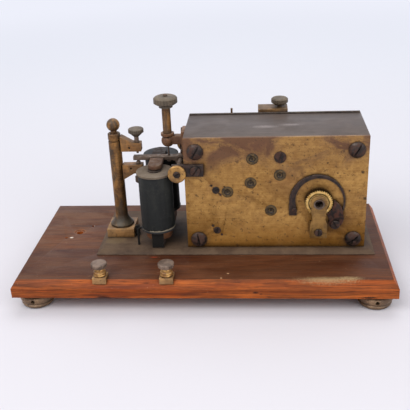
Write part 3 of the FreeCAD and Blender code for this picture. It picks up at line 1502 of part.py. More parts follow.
def press_arm():
    """Arm that lays the upper roll on the feed roll, with a tab under the thumbscrew."""
    y0, y1 = press_arm_span()
    x, z = press_roll_place()
    px, pz = press_pivot_place()
    half = PRESS_ARM_H / 2
    bar = block(x, px, y0, y1, z - half, z + half)
    ends = [through(half, x, z, y0, y1), through(half + 0.8, px, pz, y0, y1)]
    lug = block(x - half, x + half, y0, y1, z, press_tab_low() + PRESS_TAB_T)
    tab = block(x - half, PRESS_SCREW_X + PRESS_SCREW_R + 1.5, y0, BACK + PRESS_SCREW_Y + PRESS_SCREW_R + 0.8,
                press_tab_low(), press_tab_low() + PRESS_TAB_T)
    far = BACK + FEED_ROLL_GAP + FEED_ROLL_L + AIR
    pin = through(PRESS_PIN_R, x, z, y0, far + 0.8)
    head = through(PRESS_PIN_HEAD_R, x, z, far, far + 0.8)
    arm = bar.fuse(ends + [lug, tab, pin, head]).removeSplitter()
    return arm.cut(through(PRESS_PIVOT_R + RUN, px, pz, y0 - 1, y1 + 1))


def press_roll():
    x, z = press_roll_place()
    y0 = BACK + FEED_ROLL_GAP
    roll = through(PRESS_ROLL_R, x, z, y0, y0 + FEED_ROLL_L)
    return roll.cut(through(PRESS_PIN_R + RUN, x, z, y0 - 1, y0 + FEED_ROLL_L + 1))


def press_screw():
    high = DECK + BRACKET_HIGH + PRESS_KNOB_UP
    low = press_tab_low() + PRESS_TAB_T + PRESS_SCREW_ROOM
    return upright(PRESS_SCREW_R, PRESS_SCREW_X, BACK + PRESS_SCREW_Y, low, high)


def press_knob():
    r = PRESS_KNOB_R
    h = PRESS_KNOB_H
    place = V(PRESS_SCREW_X, BACK + PRESS_SCREW_Y, DECK + BRACKET_HIGH + PRESS_KNOB_UP)
    body = turned([(0, 0), (r * 0.8, 0), (r, h * 0.25), (r, h * 0.8), (r * 0.85, h), (0, h)], place)
    return knurled(body, place, Z_AXIS, r, h * 0.25, h * 0.8)


def press_roll_place():
    return (FEED[0], FEED[1] + FEED_ROLL_R + PRESS_ROLL_R + ROLL_GAP)


def press_arm_span():
    y0 = BACK + PRESS_ARM_GAP
    return (y0, y0 + PRESS_ARM_T)


def press_pivot_place():
    x, z = press_roll_place()
    return (x + PRESS_ARM_X, z)


PARTS = {
    "base_board": base_board,
    "base_feet": feet,
    "deck_plate": deck_plate,
    "deck_screws": deck_screws,
    "terminal_blocks": terminal_blocks,
    "terminal_washer_left": lambda: terminal_washer(TERMINAL_LEFT_X),
    "terminal_washer_right": lambda: terminal_washer(TERMINAL_RIGHT_X),
    "terminal_nut_left": lambda: terminal_nut(TERMINAL_LEFT_X),
    "terminal_nut_right": lambda: terminal_nut(TERMINAL_RIGHT_X),
    "front_plate": front_plate,
    "back_plate": back_plate,
    "case_pillars": case_pillars,
    "case_screws": case_screws,
    "dust_cover": dust_cover,
    "pivot_bushes": lambda: bushes(FRONT, -Y_AXIS) + bushes(BACK, Y_AXIS),
    "mainspring_barrel": mainspring_barrel,
    "second_arbor": second_arbor,
    "third_arbor": third_arbor,
    "fourth_arbor": fourth_arbor,
    "feed_arbor": feed_arbor,
    "ink_arbor": ink_arbor,
    "fly": fly,
    "fly_cocks": fly_cocks,
    "winding_arbor": winding_arbor,
    "ratchet_wheel": ratchet_wheel,
    "winding_cock": winding_cock,
    "click": click,
    "click_spring": click_spring,
    "front_screws": front_screws,
    "armature_lever": armature_lever,
    "armature": armature,
    "lever_arbor": lever_arbor,
    "lever_cocks": lever_cocks,
    "lever_hubs": lever_hubs,
    "lever_screws": lambda: pivot_screws() + lever_cock_screws(),
    "magnet_cores": magnet_cores,
    "magnet_yoke": magnet_yoke,
    "coil_cheeks": coil_cheeks,
    "coil_wraps": coil_wraps,
    "coil_leads": coil_leads,
    "stop_block": stop_block,
    "stop_post": stop_post,
    "upper_stop_arm": lambda: stop_arm(True),
    "lower_stop_arm": lambda: stop_arm(False),
    "upper_stop_screw": upper_stop_screw,
    "upper_stop_knob": upper_stop_knob,
    "lower_stop_screw": lower_stop_screw,
    "tension_bracket": tension_bracket,
    "tension_tube": tension_tube,
    "tension_knob": tension_knob,
    "tension_rod": tension_rod,
    "tension_spring": tension_spring,
    "spring_hook": spring_hook,
    "rear_bracket": rear_bracket,
    "bracket_screws": lambda: tension_screws() + rear_screws(),
    "paper_guide": paper_guide,
    "press_arm": press_arm,
    "press_roll": press_roll,
    "press_screw": press_screw,
    "press_knob": press_knob,
}

os.makedirs("parts", exist_ok=True)
for name, make in PARTS.items():
    save(name, make())
print(len(PARTS), "parts")
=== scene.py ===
import json
import math

import bmesh
import bpy
from mathutils import Euler, Matrix, Vector, noise


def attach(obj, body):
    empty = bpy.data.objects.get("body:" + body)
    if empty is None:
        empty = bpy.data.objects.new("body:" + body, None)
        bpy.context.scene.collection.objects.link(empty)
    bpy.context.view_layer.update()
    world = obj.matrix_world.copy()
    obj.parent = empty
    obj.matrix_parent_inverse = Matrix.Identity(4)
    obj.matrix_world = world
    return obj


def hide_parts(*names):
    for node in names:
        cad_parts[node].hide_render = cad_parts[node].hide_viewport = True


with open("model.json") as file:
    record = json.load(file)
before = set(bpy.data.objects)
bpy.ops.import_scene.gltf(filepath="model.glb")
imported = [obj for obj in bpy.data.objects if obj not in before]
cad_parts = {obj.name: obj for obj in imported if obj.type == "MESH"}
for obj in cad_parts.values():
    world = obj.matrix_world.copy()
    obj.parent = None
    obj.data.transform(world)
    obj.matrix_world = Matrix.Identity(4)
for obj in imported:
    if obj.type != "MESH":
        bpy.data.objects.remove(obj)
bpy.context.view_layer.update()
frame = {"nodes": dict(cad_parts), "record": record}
nodes = frame["nodes"]
bodies = frame["record"]["behaviour"]["bodies"]

MM = 0.001

# Places that the marks and the new pieces hang on, in millimetres
BOARD_TOP = 28.0
DECK_TOP = 31.5
PLATE_FRONT = -21.9
COVER_TOP = 126.1
COIL_X = -38.5
COIL_FRONT_Y = -13.0
COIL_BACK_Y = 27.0
WINDING_X = 91.8
WINDING_Z = 73.0


def collection():
    return bpy.context.scene.collection


def rgb(red, green, blue):
    """A colour as it looks on screen, 0 to 255, turned into the linear values that shaders take."""
    def straight(value):
        value = value / 255.0
        return value / 12.92 if value <= 0.04045 else ((value + 0.055) / 1.055) ** 2.4
    return (straight(red), straight(green), straight(blue), 1.0)


class Graph:
    """Short words for adding and joining shader nodes in one node tree."""

    def __init__(self, tree):
        self.tree = tree

    def node(self, kind, **settings):
        made = self.tree.nodes.new(kind)
        for name, value in settings.items():
            setattr(made, name, value)
        return made

    def feed(self, socket, value):
        if isinstance(value, bpy.types.NodeSocket):
            self.tree.links.new(value, socket)
        elif value is not None:
            socket.default_value = value

    def object_point(self):
        return self.node("ShaderNodeTexCoord").outputs["Object"]

    def object_normal(self):
        return self.node("ShaderNodeTexCoord").outputs["Normal"]

    def math(self, operation, first, second=None, clamp=False):
        made = self.node("ShaderNodeMath", operation=operation, use_clamp=clamp)
        self.feed(made.inputs[0], first)
        self.feed(made.inputs[1], second)
        return made.outputs[0]

    def vector(self, operation, first, second=None):
        made = self.node("ShaderNodeVectorMath", operation=operation)
        self.feed(made.inputs[0], first)
        self.feed(made.inputs[1], second)
        return made.outputs["Value" if operation == "LENGTH" else "Vector"]

    def scaled(self, point, scale, turn=(0, 0, 0)):
        made = self.node("ShaderNodeMapping")
        self.feed(made.inputs["Vector"], point)
        made.inputs["Scale"].default_value = scale
        made.inputs["Rotation"].default_value = [math.radians(value) for value in turn]
        return made.outputs["Vector"]

    def parts(self, point):
        made = self.node("ShaderNodeSeparateXYZ")
        self.feed(made.inputs[0], point)
        return made.outputs

    def noise(self, point, scale=1.0, detail=4.0, rough=0.55, warp=0.0):
        made = self.node("ShaderNodeTexNoise")
        self.feed(made.inputs["Vector"], point)
        self.feed(made.inputs["Scale"], scale)
        made.inputs["Detail"].default_value = detail
        made.inputs["Roughness"].default_value = rough
        made.inputs["Distortion"].default_value = warp
        return made.outputs["Fac"]

    def between(self, value, low, high, start=0.0, end=1.0):
        made = self.node("ShaderNodeMapRange", interpolation_type="SMOOTHSTEP")
        self.feed(made.inputs["Value"], value)
        self.feed(made.inputs["From Min"], low)
        self.feed(made.inputs["From Max"], high)
        self.feed(made.inputs["To Min"], start)
        self.feed(made.inputs["To Max"], end)
        return made.outputs["Result"]

    def mix(self, share, first, second):
        made = self.node("ShaderNodeMix", data_type="RGBA")
        self.feed(made.inputs[0], share)
        self.feed(made.inputs[6], first)
        self.feed(made.inputs[7], second)
        return made.outputs[2]

    def tint(self, colour, mask, share, other):
        """Lays another colour over a colour where the mask is, at a share of its strength."""
        return self.mix(self.math("MULTIPLY", mask, share), colour, other)

    def value_mix(self, share, first, second):
        made = self.node("ShaderNodeMix", data_type="FLOAT")
        self.feed(made.inputs[0], share)
        self.feed(made.inputs[2], first)
        self.feed(made.inputs[3], second)
        return made.outputs[0]

    def group(self, tree, **values):
        made = self.node("ShaderNodeGroup")
        made.node_tree = tree
        for name, value in values.items():
            self.feed(made.inputs[name], value)
        return made.outputs[0]

    def bump(self, height, strength, depth):
        made = self.node("ShaderNodeBump")
        self.feed(made.inputs["Height"], height)
        made.inputs["Strength"].default_value = strength
        made.inputs["Distance"].default_value = depth * MM
        return made.outputs["Normal"]


VECTOR = "NodeSocketVector"
FLOAT = "NodeSocketFloat"


def effect(name, inputs, output, build):
    """A node group with named inputs and one named output. build gets the graph and the input sockets."""
    tree = bpy.data.node_groups.new(name, "ShaderNodeTree")
    for label, kind, value in inputs:
        socket = tree.interface.new_socket(name=label, in_out="INPUT", socket_type=kind)
        if value is not None:
            socket.default_value = value
    tree.interface.new_socket(name=output, in_out="OUTPUT", socket_type=FLOAT)
    graph = Graph(tree)
    source = graph.node("NodeGroupInput")
    sink = graph.node("NodeGroupOutput")
    graph.feed(sink.inputs[0], build(graph, source.outputs))
    return tree


def build_spot(graph, given):
    offset = graph.vector("SUBTRACT", given["Point"], given["Centre"])
    share = graph.vector("DIVIDE", offset, given["Size"])
    ragged = graph.noise(given["Point"], 900.0, 3.0)
    ragged = graph.math("MULTIPLY", graph.math("SUBTRACT", ragged, 0.5), given["Ragged"])
    reach = graph.math("ADD", graph.vector("LENGTH", share), ragged)
    return graph.math("SUBTRACT", 1.0, graph.between(reach, given["Core"], 1.0))


def build_blotches(graph, given):
    coarse = graph.noise(graph.vector("MULTIPLY", given["Point"], given["Stretch"]), 1.0, 5.0, 0.62, 0.6)
    high = graph.math("ADD", given["Level"], given["Softness"])
    return graph.between(coarse, graph.math("SUBTRACT", given["Level"], given["Softness"]), high)


def build_wear(graph, given):
    edge = graph.node("ShaderNodeAttribute", attribute_name="wear").outputs["Fac"]
    broken = graph.noise(given["Point"], given["Scale"], 4.0, 0.7)
    return graph.math("MULTIPLY", edge, graph.between(broken, 0.42, 0.62), clamp=True)


def build_dust(graph, given):
    up = graph.parts(graph.object_normal())["Z"]
    facing = graph.between(up, 0.35, 0.95)
    patchy = graph.noise(given["Point"], given["Scale"], 6.0, 0.66, 0.4)
    share = graph.math("MULTIPLY", facing, graph.between(patchy, 0.30, 0.72))
    return graph.math("MULTIPLY", share, given["Amount"], clamp=True)


# Painted shade and grime: darkens where ambient occlusion finds surfaces close by, in corners, narrow gaps
# and between parts.
def build_crevice_shade_and_dirt(graph, given):
    closed = graph.node("ShaderNodeAmbientOcclusion", samples=6)
    graph.feed(closed.inputs["Distance"], given["Reach"])
    packed = graph.between(closed.outputs["AO"], 0.86, 0.42)
    uneven = graph.between(graph.noise(given["Point"], 420.0, 3.0), 0.2, 0.6, 0.55, 1.0)
    return graph.math("MULTIPLY", packed, uneven, clamp=True)


def build_streaks(graph, given):
    fine = graph.noise(graph.vector("MULTIPLY", given["Point"], given["Stretch"]), 1.0, 3.0, 0.6)
    return graph.between(fine, 0.25, 0.75)


POINT = ("Point", VECTOR, None)
spot_mask = effect("spot", [POINT, ("Centre", VECTOR, None), ("Size", VECTOR, (0.005, 0.005, 0.005)),
                            ("Ragged", FLOAT, 0.4), ("Core", FLOAT, 0.5)], "Mask", build_spot)
blotch_mask = effect("blotches", [POINT, ("Stretch", VECTOR, (40.0, 40.0, 40.0)), ("Level", FLOAT, 0.5),
                                  ("Softness", FLOAT, 0.08)], "Mask", build_blotches)
wear_mask = effect("edge_wear", [POINT, ("Scale", FLOAT, 300.0)], "Mask", build_wear)
dust_mask = effect("dust", [POINT, ("Scale", FLOAT, 60.0), ("Amount", FLOAT, 0.5)], "Mask", build_dust)
crevice_shade_and_dirt_mask = effect("painted_crevice_shade_and_dirt", [POINT, ("Reach", FLOAT, 0.002)], "Mask", build_crevice_shade_and_dirt)
streak_value = effect("streaks", [POINT, ("Stretch", VECTOR, (20.0, 20.0, 900.0))], "Value", build_streaks)


def new_material(name, build):
    """A material whose build function sets up the shader through the graph."""
    material = bpy.data.materials.new(name)
    material.use_nodes = True
    tree = material.node_tree
    tree.nodes.clear()
    graph = Graph(tree)
    shader = graph.node("ShaderNodeBsdfPrincipled")
    output = graph.node("ShaderNodeOutputMaterial")
    tree.links.new(shader.outputs[0], output.inputs["Surface"])
    build(graph, shader.inputs, graph.object_point())
    material.diffuse_color = (0.5, 0.4, 0.3, 1.0)
    return material


def spot(graph, point, centre, size, ragged, core):
    return graph.group(spot_mask, Point=point, Centre=tuple(value * MM for value in centre),
                       Size=tuple(value * MM for value in size), Ragged=ragged, Core=core)


def blotches(graph, point, stretch, level, softness):
    return graph.group(blotch_mask, Point=point, Stretch=stretch, Level=level, Softness=softness)


def wear(graph, point, scale=300.0):
    return graph.group(wear_mask, Point=point, Scale=scale)


def dust(graph, point, amount, scale):
    return graph.group(dust_mask, Point=point, Scale=scale, Amount=amount)


# Painted shade and grime in corners, narrow gaps and between parts, reaching so many millimetres.
def crevice_shade_and_dirt(graph, point, reach):
    return graph.group(crevice_shade_and_dirt_mask, Point=point, Reach=reach * MM)


def streaks(graph, point, stretch):
    return graph.group(streak_value, Point=point, Stretch=stretch)


def paint_marks(graph, colour, point, marks):
    """Lays spots of colour over a base colour. A mark is a colour, a share and the spots it covers."""
    for tint, share, places in marks:
        for centre, size, ragged, core in places:
            mask = graph.math("MULTIPLY", spot(graph, point, centre, size, ragged, core), share)
            colour = graph.mix(mask, colour, tint)
    return colour


# Materials

# Scuffs by the front right edge, chips of the front and painted shade in its dents and notches, a red streak
# before the sub-plate, the rubbed patch round the hole and painted highlights at the small holes beside it
BOARD_MARKS = [
    (rgb(172, 146, 106), 0.62, [((96, -67.5, BOARD_TOP), (31, 4.4, 6), 1.5, 0.1),
                                ((113, -66, BOARD_TOP), (13, 3.6, 6), 1.4, 0.1)]),
    (rgb(214, 172, 128), 0.85, [((33, -73, 27), (3.0, 2.0, 1.4), 1.1, 0.3),
                                ((38, -74.5, 24), (2.4, 2.5, 1.6), 1.1, 0.3),
                                ((20.5, -59, BOARD_TOP), (1.3, 0.9, 1), 0.8, 0.3),
                                ((15.5, -66, BOARD_TOP), (1.2, 0.8, 1), 0.8, 0.3)]),
    # Painted shade in the dents and notches of the front
    (rgb(40, 20, 12), 0.9, [((42, -73, 18.8), (3.2, 3, 1.3), 1.0, 0.3),
                            ((46, -73, 17.5), (1.8, 3, 0.9), 1.0, 0.3),
                            ((-77, -73, 14.2), (8.0, 3, 1.5), 1.0, 0.4),
                            ((128, -73, 14.5), (9.0, 3, 1.2), 1.0, 0.4)]),
    (rgb(152, 62, 36), 0.7, [((-41, -33, BOARD_TOP), (4.4, 1.5, 1), 0.9, 0.2)]),
    (rgb(168, 122, 92), 0.6, [((-113.5, 13, BOARD_TOP), (6.4, 6.0, 1.5), 0.8, 0.5)]),
    # Painted highlights at the small holes beside the large one
    (rgb(228, 214, 196), 0.95, [((-103.6, 24.4, BOARD_TOP), (1.3, 1.2, 1.2), 0.4, 0.4),
                                ((-118.4, 2.2, BOARD_TOP), (2.1, 1.6, 1.2), 0.5, 0.4)]),
]


def board_wood(graph, shader, point):
    grain_point = graph.scaled(point, (6.0, 70.0, 70.0), (0, 0, 2.0))
    broad = graph.noise(grain_point, 1.0, 5.0, 0.6, 1.0)
    fine = graph.noise(graph.scaled(point, (40.0, 1000.0, 1000.0)), 1.0, 3.0, 0.6)
    pores = graph.noise(graph.scaled(point, (90.0, 2400.0, 2400.0)), 1.0, 2.0, 0.5)
    pores = graph.between(pores, 0.58, 0.68)
    top = graph.mix(graph.between(broad, 0.32, 0.68), rgb(74, 36, 18), rgb(114, 66, 38))
    side = graph.mix(graph.between(broad, 0.32, 0.68), rgb(140, 60, 16), rgb(206, 108, 42))
    up = graph.between(graph.parts(graph.object_normal())["Z"], 0.80, 0.97)
    colour = graph.mix(up, side, top)
    colour = graph.tint(colour, graph.between(fine, 0.35, 0.7), 0.55, rgb(50, 23, 11))
    colour = graph.tint(colour, pores, 0.65, rgb(30, 16, 9))
    figure = graph.noise(graph.scaled(point, (18.0, 430.0, 430.0), (0, 0, 1.0)), 1.0, 4.0, 0.72)
    colour = graph.tint(colour, graph.between(figure, 0.44, 0.62), 0.36, rgb(58, 28, 14))
    stain = blotches(graph, point, (11.0, 26.0, 26.0), 0.54, 0.10)
    colour = graph.tint(colour, stain, 0.4, rgb(66, 34, 18))
    axes = graph.parts(point)
    left = graph.between(axes["X"], 0.04, -0.13)
    back = graph.between(axes["Y"], -0.055, 0.03)
    grey = graph.math("ADD", graph.math("MULTIPLY", left, 0.16), graph.math("MULTIPLY", back, 0.16))
    drawn_out = graph.vector("MULTIPLY", point, (0.35, 1.0, 1.0))
    film = dust(graph, drawn_out, graph.math("ADD", grey, 0.10), 75.0)
    colour = graph.mix(film, colour, rgb(138, 104, 80))
    specks = blotches(graph, point, (620.0, 620.0, 620.0), 0.69, 0.03)
    colour = graph.tint(colour, specks, 0.5, rgb(172, 138, 106))
    colour = graph.tint(colour, wear(graph, point, 160.0), 0.40, rgb(176, 104, 58))
    # Painted shade and grime in the corners and narrow gaps
    colour = graph.tint(colour, crevice_shade_and_dirt(graph, point, 5.0), 0.55, rgb(30, 18, 12))
    colour = paint_marks(graph, colour, point, BOARD_MARKS)
    graph.feed(shader["Base Color"], colour)
    graph.feed(shader["Roughness"], graph.between(broad, 0.2, 0.8, 0.40, 0.60))
    shader["Specular IOR Level"].default_value = 0.18
    height = graph.math("ADD", graph.math("MULTIPLY", fine, 0.6), graph.math("MULTIPLY", pores, -0.7))
    graph.feed(shader["Normal"], graph.bump(height, 0.4, 0.3))


def deck_finish(graph, shader, point):
    broad = graph.noise(graph.scaled(point, (12.0, 80.0, 80.0)), 1.0, 5.0, 0.6, 0.6)
    fine = graph.noise(graph.scaled(point, (50.0, 1000.0, 1000.0)), 1.0, 3.0, 0.6)
    colour = graph.mix(graph.between(broad, 0.3, 0.7), rgb(66, 48, 36), rgb(94, 73, 56))
    colour = graph.tint(colour, fine, 0.4, rgb(38, 28, 22))
    colour = graph.mix(dust(graph, point, 0.38, 55.0), colour, rgb(130, 108, 84))
    colour = graph.tint(colour, wear(graph, point, 260.0), 0.55, rgb(128, 104, 82))
    # Painted shade and grime in the corners and narrow gaps
    colour = graph.tint(colour, crevice_shade_and_dirt(graph, point, 5.0), 0.75, rgb(24, 18, 13))
    colour = paint_marks(graph, colour, point, [
        (rgb(132, 112, 78), 0.25, [((-77, -10, DECK_TOP), (11, 8, 2), 0.8, 0.5)]),
        # Painted shadow on the deck under and between the coils
        (rgb(44, 33, 25), 0.6, [((-37, 4, DECK_TOP), (26, 34, 2), 0.5, 0.3)]),
    ])
    graph.feed(shader["Base Color"], colour)
    graph.feed(shader["Roughness"], graph.between(broad, 0.2, 0.8, 0.6, 0.8))
    shader["Specular IOR Level"].default_value = 0.25
    graph.feed(shader["Normal"], graph.bump(fine, 0.4, 0.25))


def on_plate(x, z, wide, high, ragged, core):
    """A mark on the front plate: its place and its reach, how ragged it is and how much of it is solid."""
    return (x, PLATE_FRONT, z), (wide, 3, high), ragged, core


# Each small hole's place on the plate and its radius. The holes are painted dark, as the shade in them
PLATE_HOLE_SHADE_SPOTS = [(125.3, 96.5, 1.8), (98.2, 104.6, 1.1), (115.7, 81.0, 1.2), (128.0, 74.3, 2.0),
              (70.9, 94.5, 1.0), (8.3, 51.6, 1.0), (17.5, 85.5, 1.1), (13.2, 79.5, 1.2), (63.5, 103.0, 0.9),
              (106.0, 96.0, 0.9)]

# Brown clouds, grime round the lower screws and under the bridge, and painted shade in the small holes
PLATE_MARKS = [
    (rgb(100, 62, 44), 0.34, [on_plate(42, 117, 24, 10, 1.0, 0.0), on_plate(-3, 112, 13, 13, 0.9, 0.1),
                              on_plate(10, 86, 10, 8, 1.0, 0.1), on_plate(66, 86, 26, 16, 1.0, 0.0),
                              on_plate(112, 58, 15, 14, 0.8, 0.1)]),
    (rgb(66, 44, 24), 0.55, [on_plate(-4, 38.5, 13, 10, 0.8, 0.2), on_plate(118, 38.5, 13, 10, 0.8, 0.2),
                             on_plate(104, 50, 12, 9, 0.9, 0.1)]),
    # Painted shade in the small holes
    (rgb(48, 30, 18), 0.9, [on_plate(x, z, radius, radius, 1.1, 0.2) for x, z, radius in PLATE_HOLE_SHADE_SPOTS]),
]


def plate_brass(graph, shader, point):
    brush = streaks(graph, point, (34.0, 34.0, 1500.0))
    dark_brush = streaks(graph, point, (55.0, 55.0, 2600.0))
    mottle = blotches(graph, point, (30.0, 30.0, 46.0), 0.52, 0.14)
    patchy = graph.noise(point, 240.0, 6.0, 0.72)
    grain = graph.noise(point, 1100.0, 3.0, 0.7)
    freckle = blotches(graph, point, (380.0, 380.0, 380.0), 0.62, 0.04)
    colour = graph.mix(graph.between(patchy, 0.32, 0.68), rgb(142, 98, 42), rgb(190, 144, 76))
    colour = graph.tint(colour, brush, 0.42, rgb(204, 160, 92))
    colour = graph.tint(colour, dark_brush, 0.30, rgb(112, 76, 34))
    colour = graph.tint(colour, graph.between(grain, 0.5, 0.75), 0.30, rgb(96, 64, 32))
    height = graph.parts(point)["Z"]
    high = graph.between(height, 0.084, 0.126)
    tarnish = graph.math("ADD", graph.math("MULTIPLY", mottle, 0.22), graph.math("MULTIPLY", high, 0.76))
    tarnish = graph.math("MULTIPLY", tarnish, graph.math("ADD", mottle, 0.40), clamp=True)
    colour = graph.mix(tarnish, colour, rgb(98, 64, 38))
    # Painted shade: lower down, the plate is painted darker and more golden, and darker still at its foot by
    # the deck
    low = graph.between(height, 0.064, 0.036)
    colour = graph.tint(colour, low, 0.66, rgb(136, 88, 14))
    foot = graph.between(height, 0.037, 0.032)
    colour = graph.tint(colour, foot, 0.5, rgb(92, 60, 20))
    colour = graph.tint(colour, freckle, 0.7, rgb(70, 44, 24))
    pepper = blotches(graph, point, (900.0, 900.0, 900.0), 0.62, 0.04)
    pepper = graph.math("MULTIPLY", pepper, graph.math("ADD", graph.math("MULTIPLY", high, 0.55), 0.2))
    colour = graph.mix(pepper, colour, rgb(58, 38, 24))
    colour = paint_marks(graph, colour, point, PLATE_MARKS)
    # Painted shade and grime in the corners and narrow gaps
    colour = graph.tint(colour, crevice_shade_and_dirt(graph, point, 3.0), 0.85, rgb(44, 28, 14))
    colour = graph.tint(colour, wear(graph, point, 200.0), 0.6, rgb(190, 150, 92))
    graph.feed(shader["Base Color"], colour)
    graph.feed(shader["Metallic"], graph.between(tarnish, 0.0, 0.7, 0.55, 0.20))
    graph.feed(shader["Roughness"], graph.value_mix(mottle, 0.40, 0.60))
    relief = graph.math("ADD", brush, graph.math("MULTIPLY", freckle, -0.8))
    graph.feed(shader["Normal"], graph.bump(relief, 0.25, 0.12))


def brass_material(dark, light, tarnish, share, metal=0.6, rough=0.45, dusty=0.3, crevice_shade_and_dirt_share=0.8,
                   blotch=(60.0, 60.0, 40.0), foot=None):
    """Turned or cast brass gone brown, with bright edges, painted shade and grime in its corners and dust on
    what faces up.

    Below the height foot, in millimetres, it is darker.
    """
    def build(graph, shader, point):
        mottle = blotches(graph, point, (90.0, 90.0, 60.0), 0.5, 0.12)
        turning = streaks(graph, point, (60.0, 60.0, 1100.0))
        freckle = blotches(graph, point, (420.0, 420.0, 420.0), 0.62, 0.05)
        shade = graph.math("MULTIPLY", turning, 0.35)
        shade = graph.math("ADD", shade, graph.math("MULTIPLY", mottle, 0.65))
        colour = graph.mix(shade, light, dark)
        patina = blotches(graph, point, blotch, 0.50, 0.07)
        colour = graph.tint(colour, patina, share, tarnish)
        colour = graph.tint(colour, freckle, 0.6, rgb(40, 27, 18))
        if foot:
            below = graph.between(graph.parts(point)["Z"], (foot + 3.0) * MM, (foot - 3.0) * MM)
            colour = graph.tint(colour, below, 0.75, rgb(58, 52, 40))
        colour = graph.tint(colour, wear(graph, point), 0.75, rgb(188, 146, 86))
        colour = graph.mix(dust(graph, point, dusty, 90.0), colour, rgb(146, 130, 108))
        # Painted shade and grime in the corners and narrow gaps
        colour = graph.tint(colour, crevice_shade_and_dirt(graph, point, 2.2), crevice_shade_and_dirt_share, rgb(34, 24, 16))
        graph.feed(shader["Base Color"], colour)
        graph.feed(shader["Metallic"], graph.between(patina, 0.0, 1.0, metal, metal * 0.4))
        graph.feed(shader["Roughness"], graph.value_mix(patina, rough, rough + 0.18))
        relief = graph.math("ADD", turning, graph.math("MULTIPLY", freckle, -1.0))
        graph.feed(shader["Normal"], graph.bump(relief, 0.3, 0.12))
    return build


def steel_material(dark, light, rust, rust_share, metal=0.6, rough=0.45, dusty=0.25, painted_shade_from=None):
    """Blued or plain steel with brown rust in patches. Behind a given depth, in millimetres, it is painted
    black, as painted shade.
    """
    def build(graph, shader, point):
        mottle = blotches(graph, point, (120.0, 120.0, 120.0), 0.5, 0.15)
        rusty = blotches(graph, point, (230.0, 230.0, 230.0), 0.5, 0.06)
        colour = graph.mix(mottle, dark, light)
        colour = graph.tint(colour, rusty, rust_share, rust)
        colour = graph.tint(colour, wear(graph, point), 0.5, rgb(126, 108, 92))
        colour = graph.mix(dust(graph, point, dusty, 90.0), colour, rgb(136, 120, 104))
        # Painted shade and grime in the corners and narrow gaps
        colour = graph.tint(colour, crevice_shade_and_dirt(graph, point, 1.8), 0.8, rgb(18, 13, 10))
        # Painted shade: behind the given depth it is painted near black
        if painted_shade_from is not None:
            behind = graph.between(graph.parts(point)["Y"], (painted_shade_from - 2.0) * MM, (painted_shade_from + 2.0) * MM)
            colour = graph.tint(colour, behind, 0.85, rgb(30, 25, 22))
        graph.feed(shader["Base Color"], colour)
        dull = graph.math("MULTIPLY", rusty, metal * 0.7)
        graph.feed(shader["Metallic"], graph.math("SUBTRACT", metal, dull))
        graph.feed(shader["Roughness"], graph.value_mix(rusty, rough, 0.85))
        grit = graph.noise(point, 1500.0, 4.0, 0.7)
        graph.feed(shader["Normal"], graph.bump(graph.math("ADD", grit, rusty), 0.35, 0.18))
    return build


def arbor_brass(graph, shader, point):
    """Bright brass wheels on steel pivots: the steel is what stands in the plates' bushes."""
    turning = streaks(graph, point, (900.0, 60.0, 900.0))
    colour = graph.mix(turning, rgb(150, 116, 64), rgb(196, 160, 96))
    depth = graph.parts(point)["Y"]
    front, back = graph.between(depth, -0.0195, -0.0205), graph.between(depth, 0.0372, 0.0382)
    pivot = graph.math("ADD", front, back, clamp=True)
    steel = graph.mix(turning, rgb(34, 28, 24), rgb(62, 52, 42))
    colour = graph.mix(pivot, colour, steel)
    # Painted shade and grime in the corners and narrow gaps
    colour = graph.tint(colour, crevice_shade_and_dirt(graph, point, 2.0), 0.8, rgb(34, 24, 16))
    graph.feed(shader["Base Color"], colour)
    graph.feed(shader["Metallic"], graph.between(turning, 0.0, 1.0, 0.7, 0.85))
    graph.feed(shader["Roughness"], graph.between(turning, 0.0, 1.0, 0.3, 0.45))


def bush_brass(graph, shader, point):
    """Olive and patchy on the face, with painted shade on the rim's sides and painted shade and grime at the
    pivot.
    """
    patch = graph.noise(point, 520.0, 5.0, 0.7)
    colour = graph.mix(graph.between(patch, 0.36, 0.62), rgb(44, 34, 22), rgb(98, 77, 44))
    front = graph.parts(graph.vector("ABSOLUTE", graph.object_normal()))["Y"]
    # Painted shade: faces that do not face the front, the rim's sides, are painted dark
    colour = graph.mix(graph.between(front, 0.97, 0.80), colour, rgb(34, 25, 18))
    # Painted shade and grime round the pivot
    colour = graph.mix(crevice_shade_and_dirt(graph, point, 1.5), colour, rgb(26, 18, 12))
    graph.feed(shader["Base Color"], colour)
    graph.feed(shader["Metallic"], graph.between(patch, 0.3, 0.7, 0.3, 0.5))
    graph.feed(shader["Roughness"], graph.between(patch, 0.3, 0.7, 0.55, 0.38))
    graph.feed(shader["Normal"], graph.bump(patch, 0.4, 0.15))


def ratchet_brass(graph, shader, point):
    """Bright where the faces are rubbed, black in the tooth gaps and in the turned groove."""
    turning = graph.noise(point, 420.0, 4.0, 0.6)
    colour = graph.mix(graph.between(turning, 0.3, 0.7), rgb(176, 134, 66), rgb(226, 190, 120))
    front = graph.parts(graph.vector("ABSOLUTE", graph.object_normal()))["Y"]
    colour = graph.mix(graph.between(front, 0.75, 0.45), colour, rgb(54, 38, 20))
    offset = graph.vector("SUBTRACT", point, (WINDING_X * MM, 0, WINDING_Z * MM))
    reach = graph.vector("LENGTH", graph.vector("MULTIPLY", offset, (1, 0, 1)))
    inner, outer = graph.between(reach, 0.0074, 0.0078), graph.between(reach, 0.0086, 0.0082)
    groove = graph.math("MULTIPLY", inner, outer)
    colour = graph.tint(colour, groove, 0.8, rgb(46, 32, 18))
    # Painted shade and grime in the corners and narrow gaps
    colour = graph.mix(crevice_shade_and_dirt(graph, point, 1.6), colour, rgb(34, 24, 14))
    graph.feed(shader["Base Color"], colour)
    graph.feed(shader["Metallic"], graph.between(turning, 0.3, 0.7, 0.65, 0.8))
    graph.feed(shader["Roughness"], graph.between(turning, 0.3, 0.7, 0.40, 0.28))


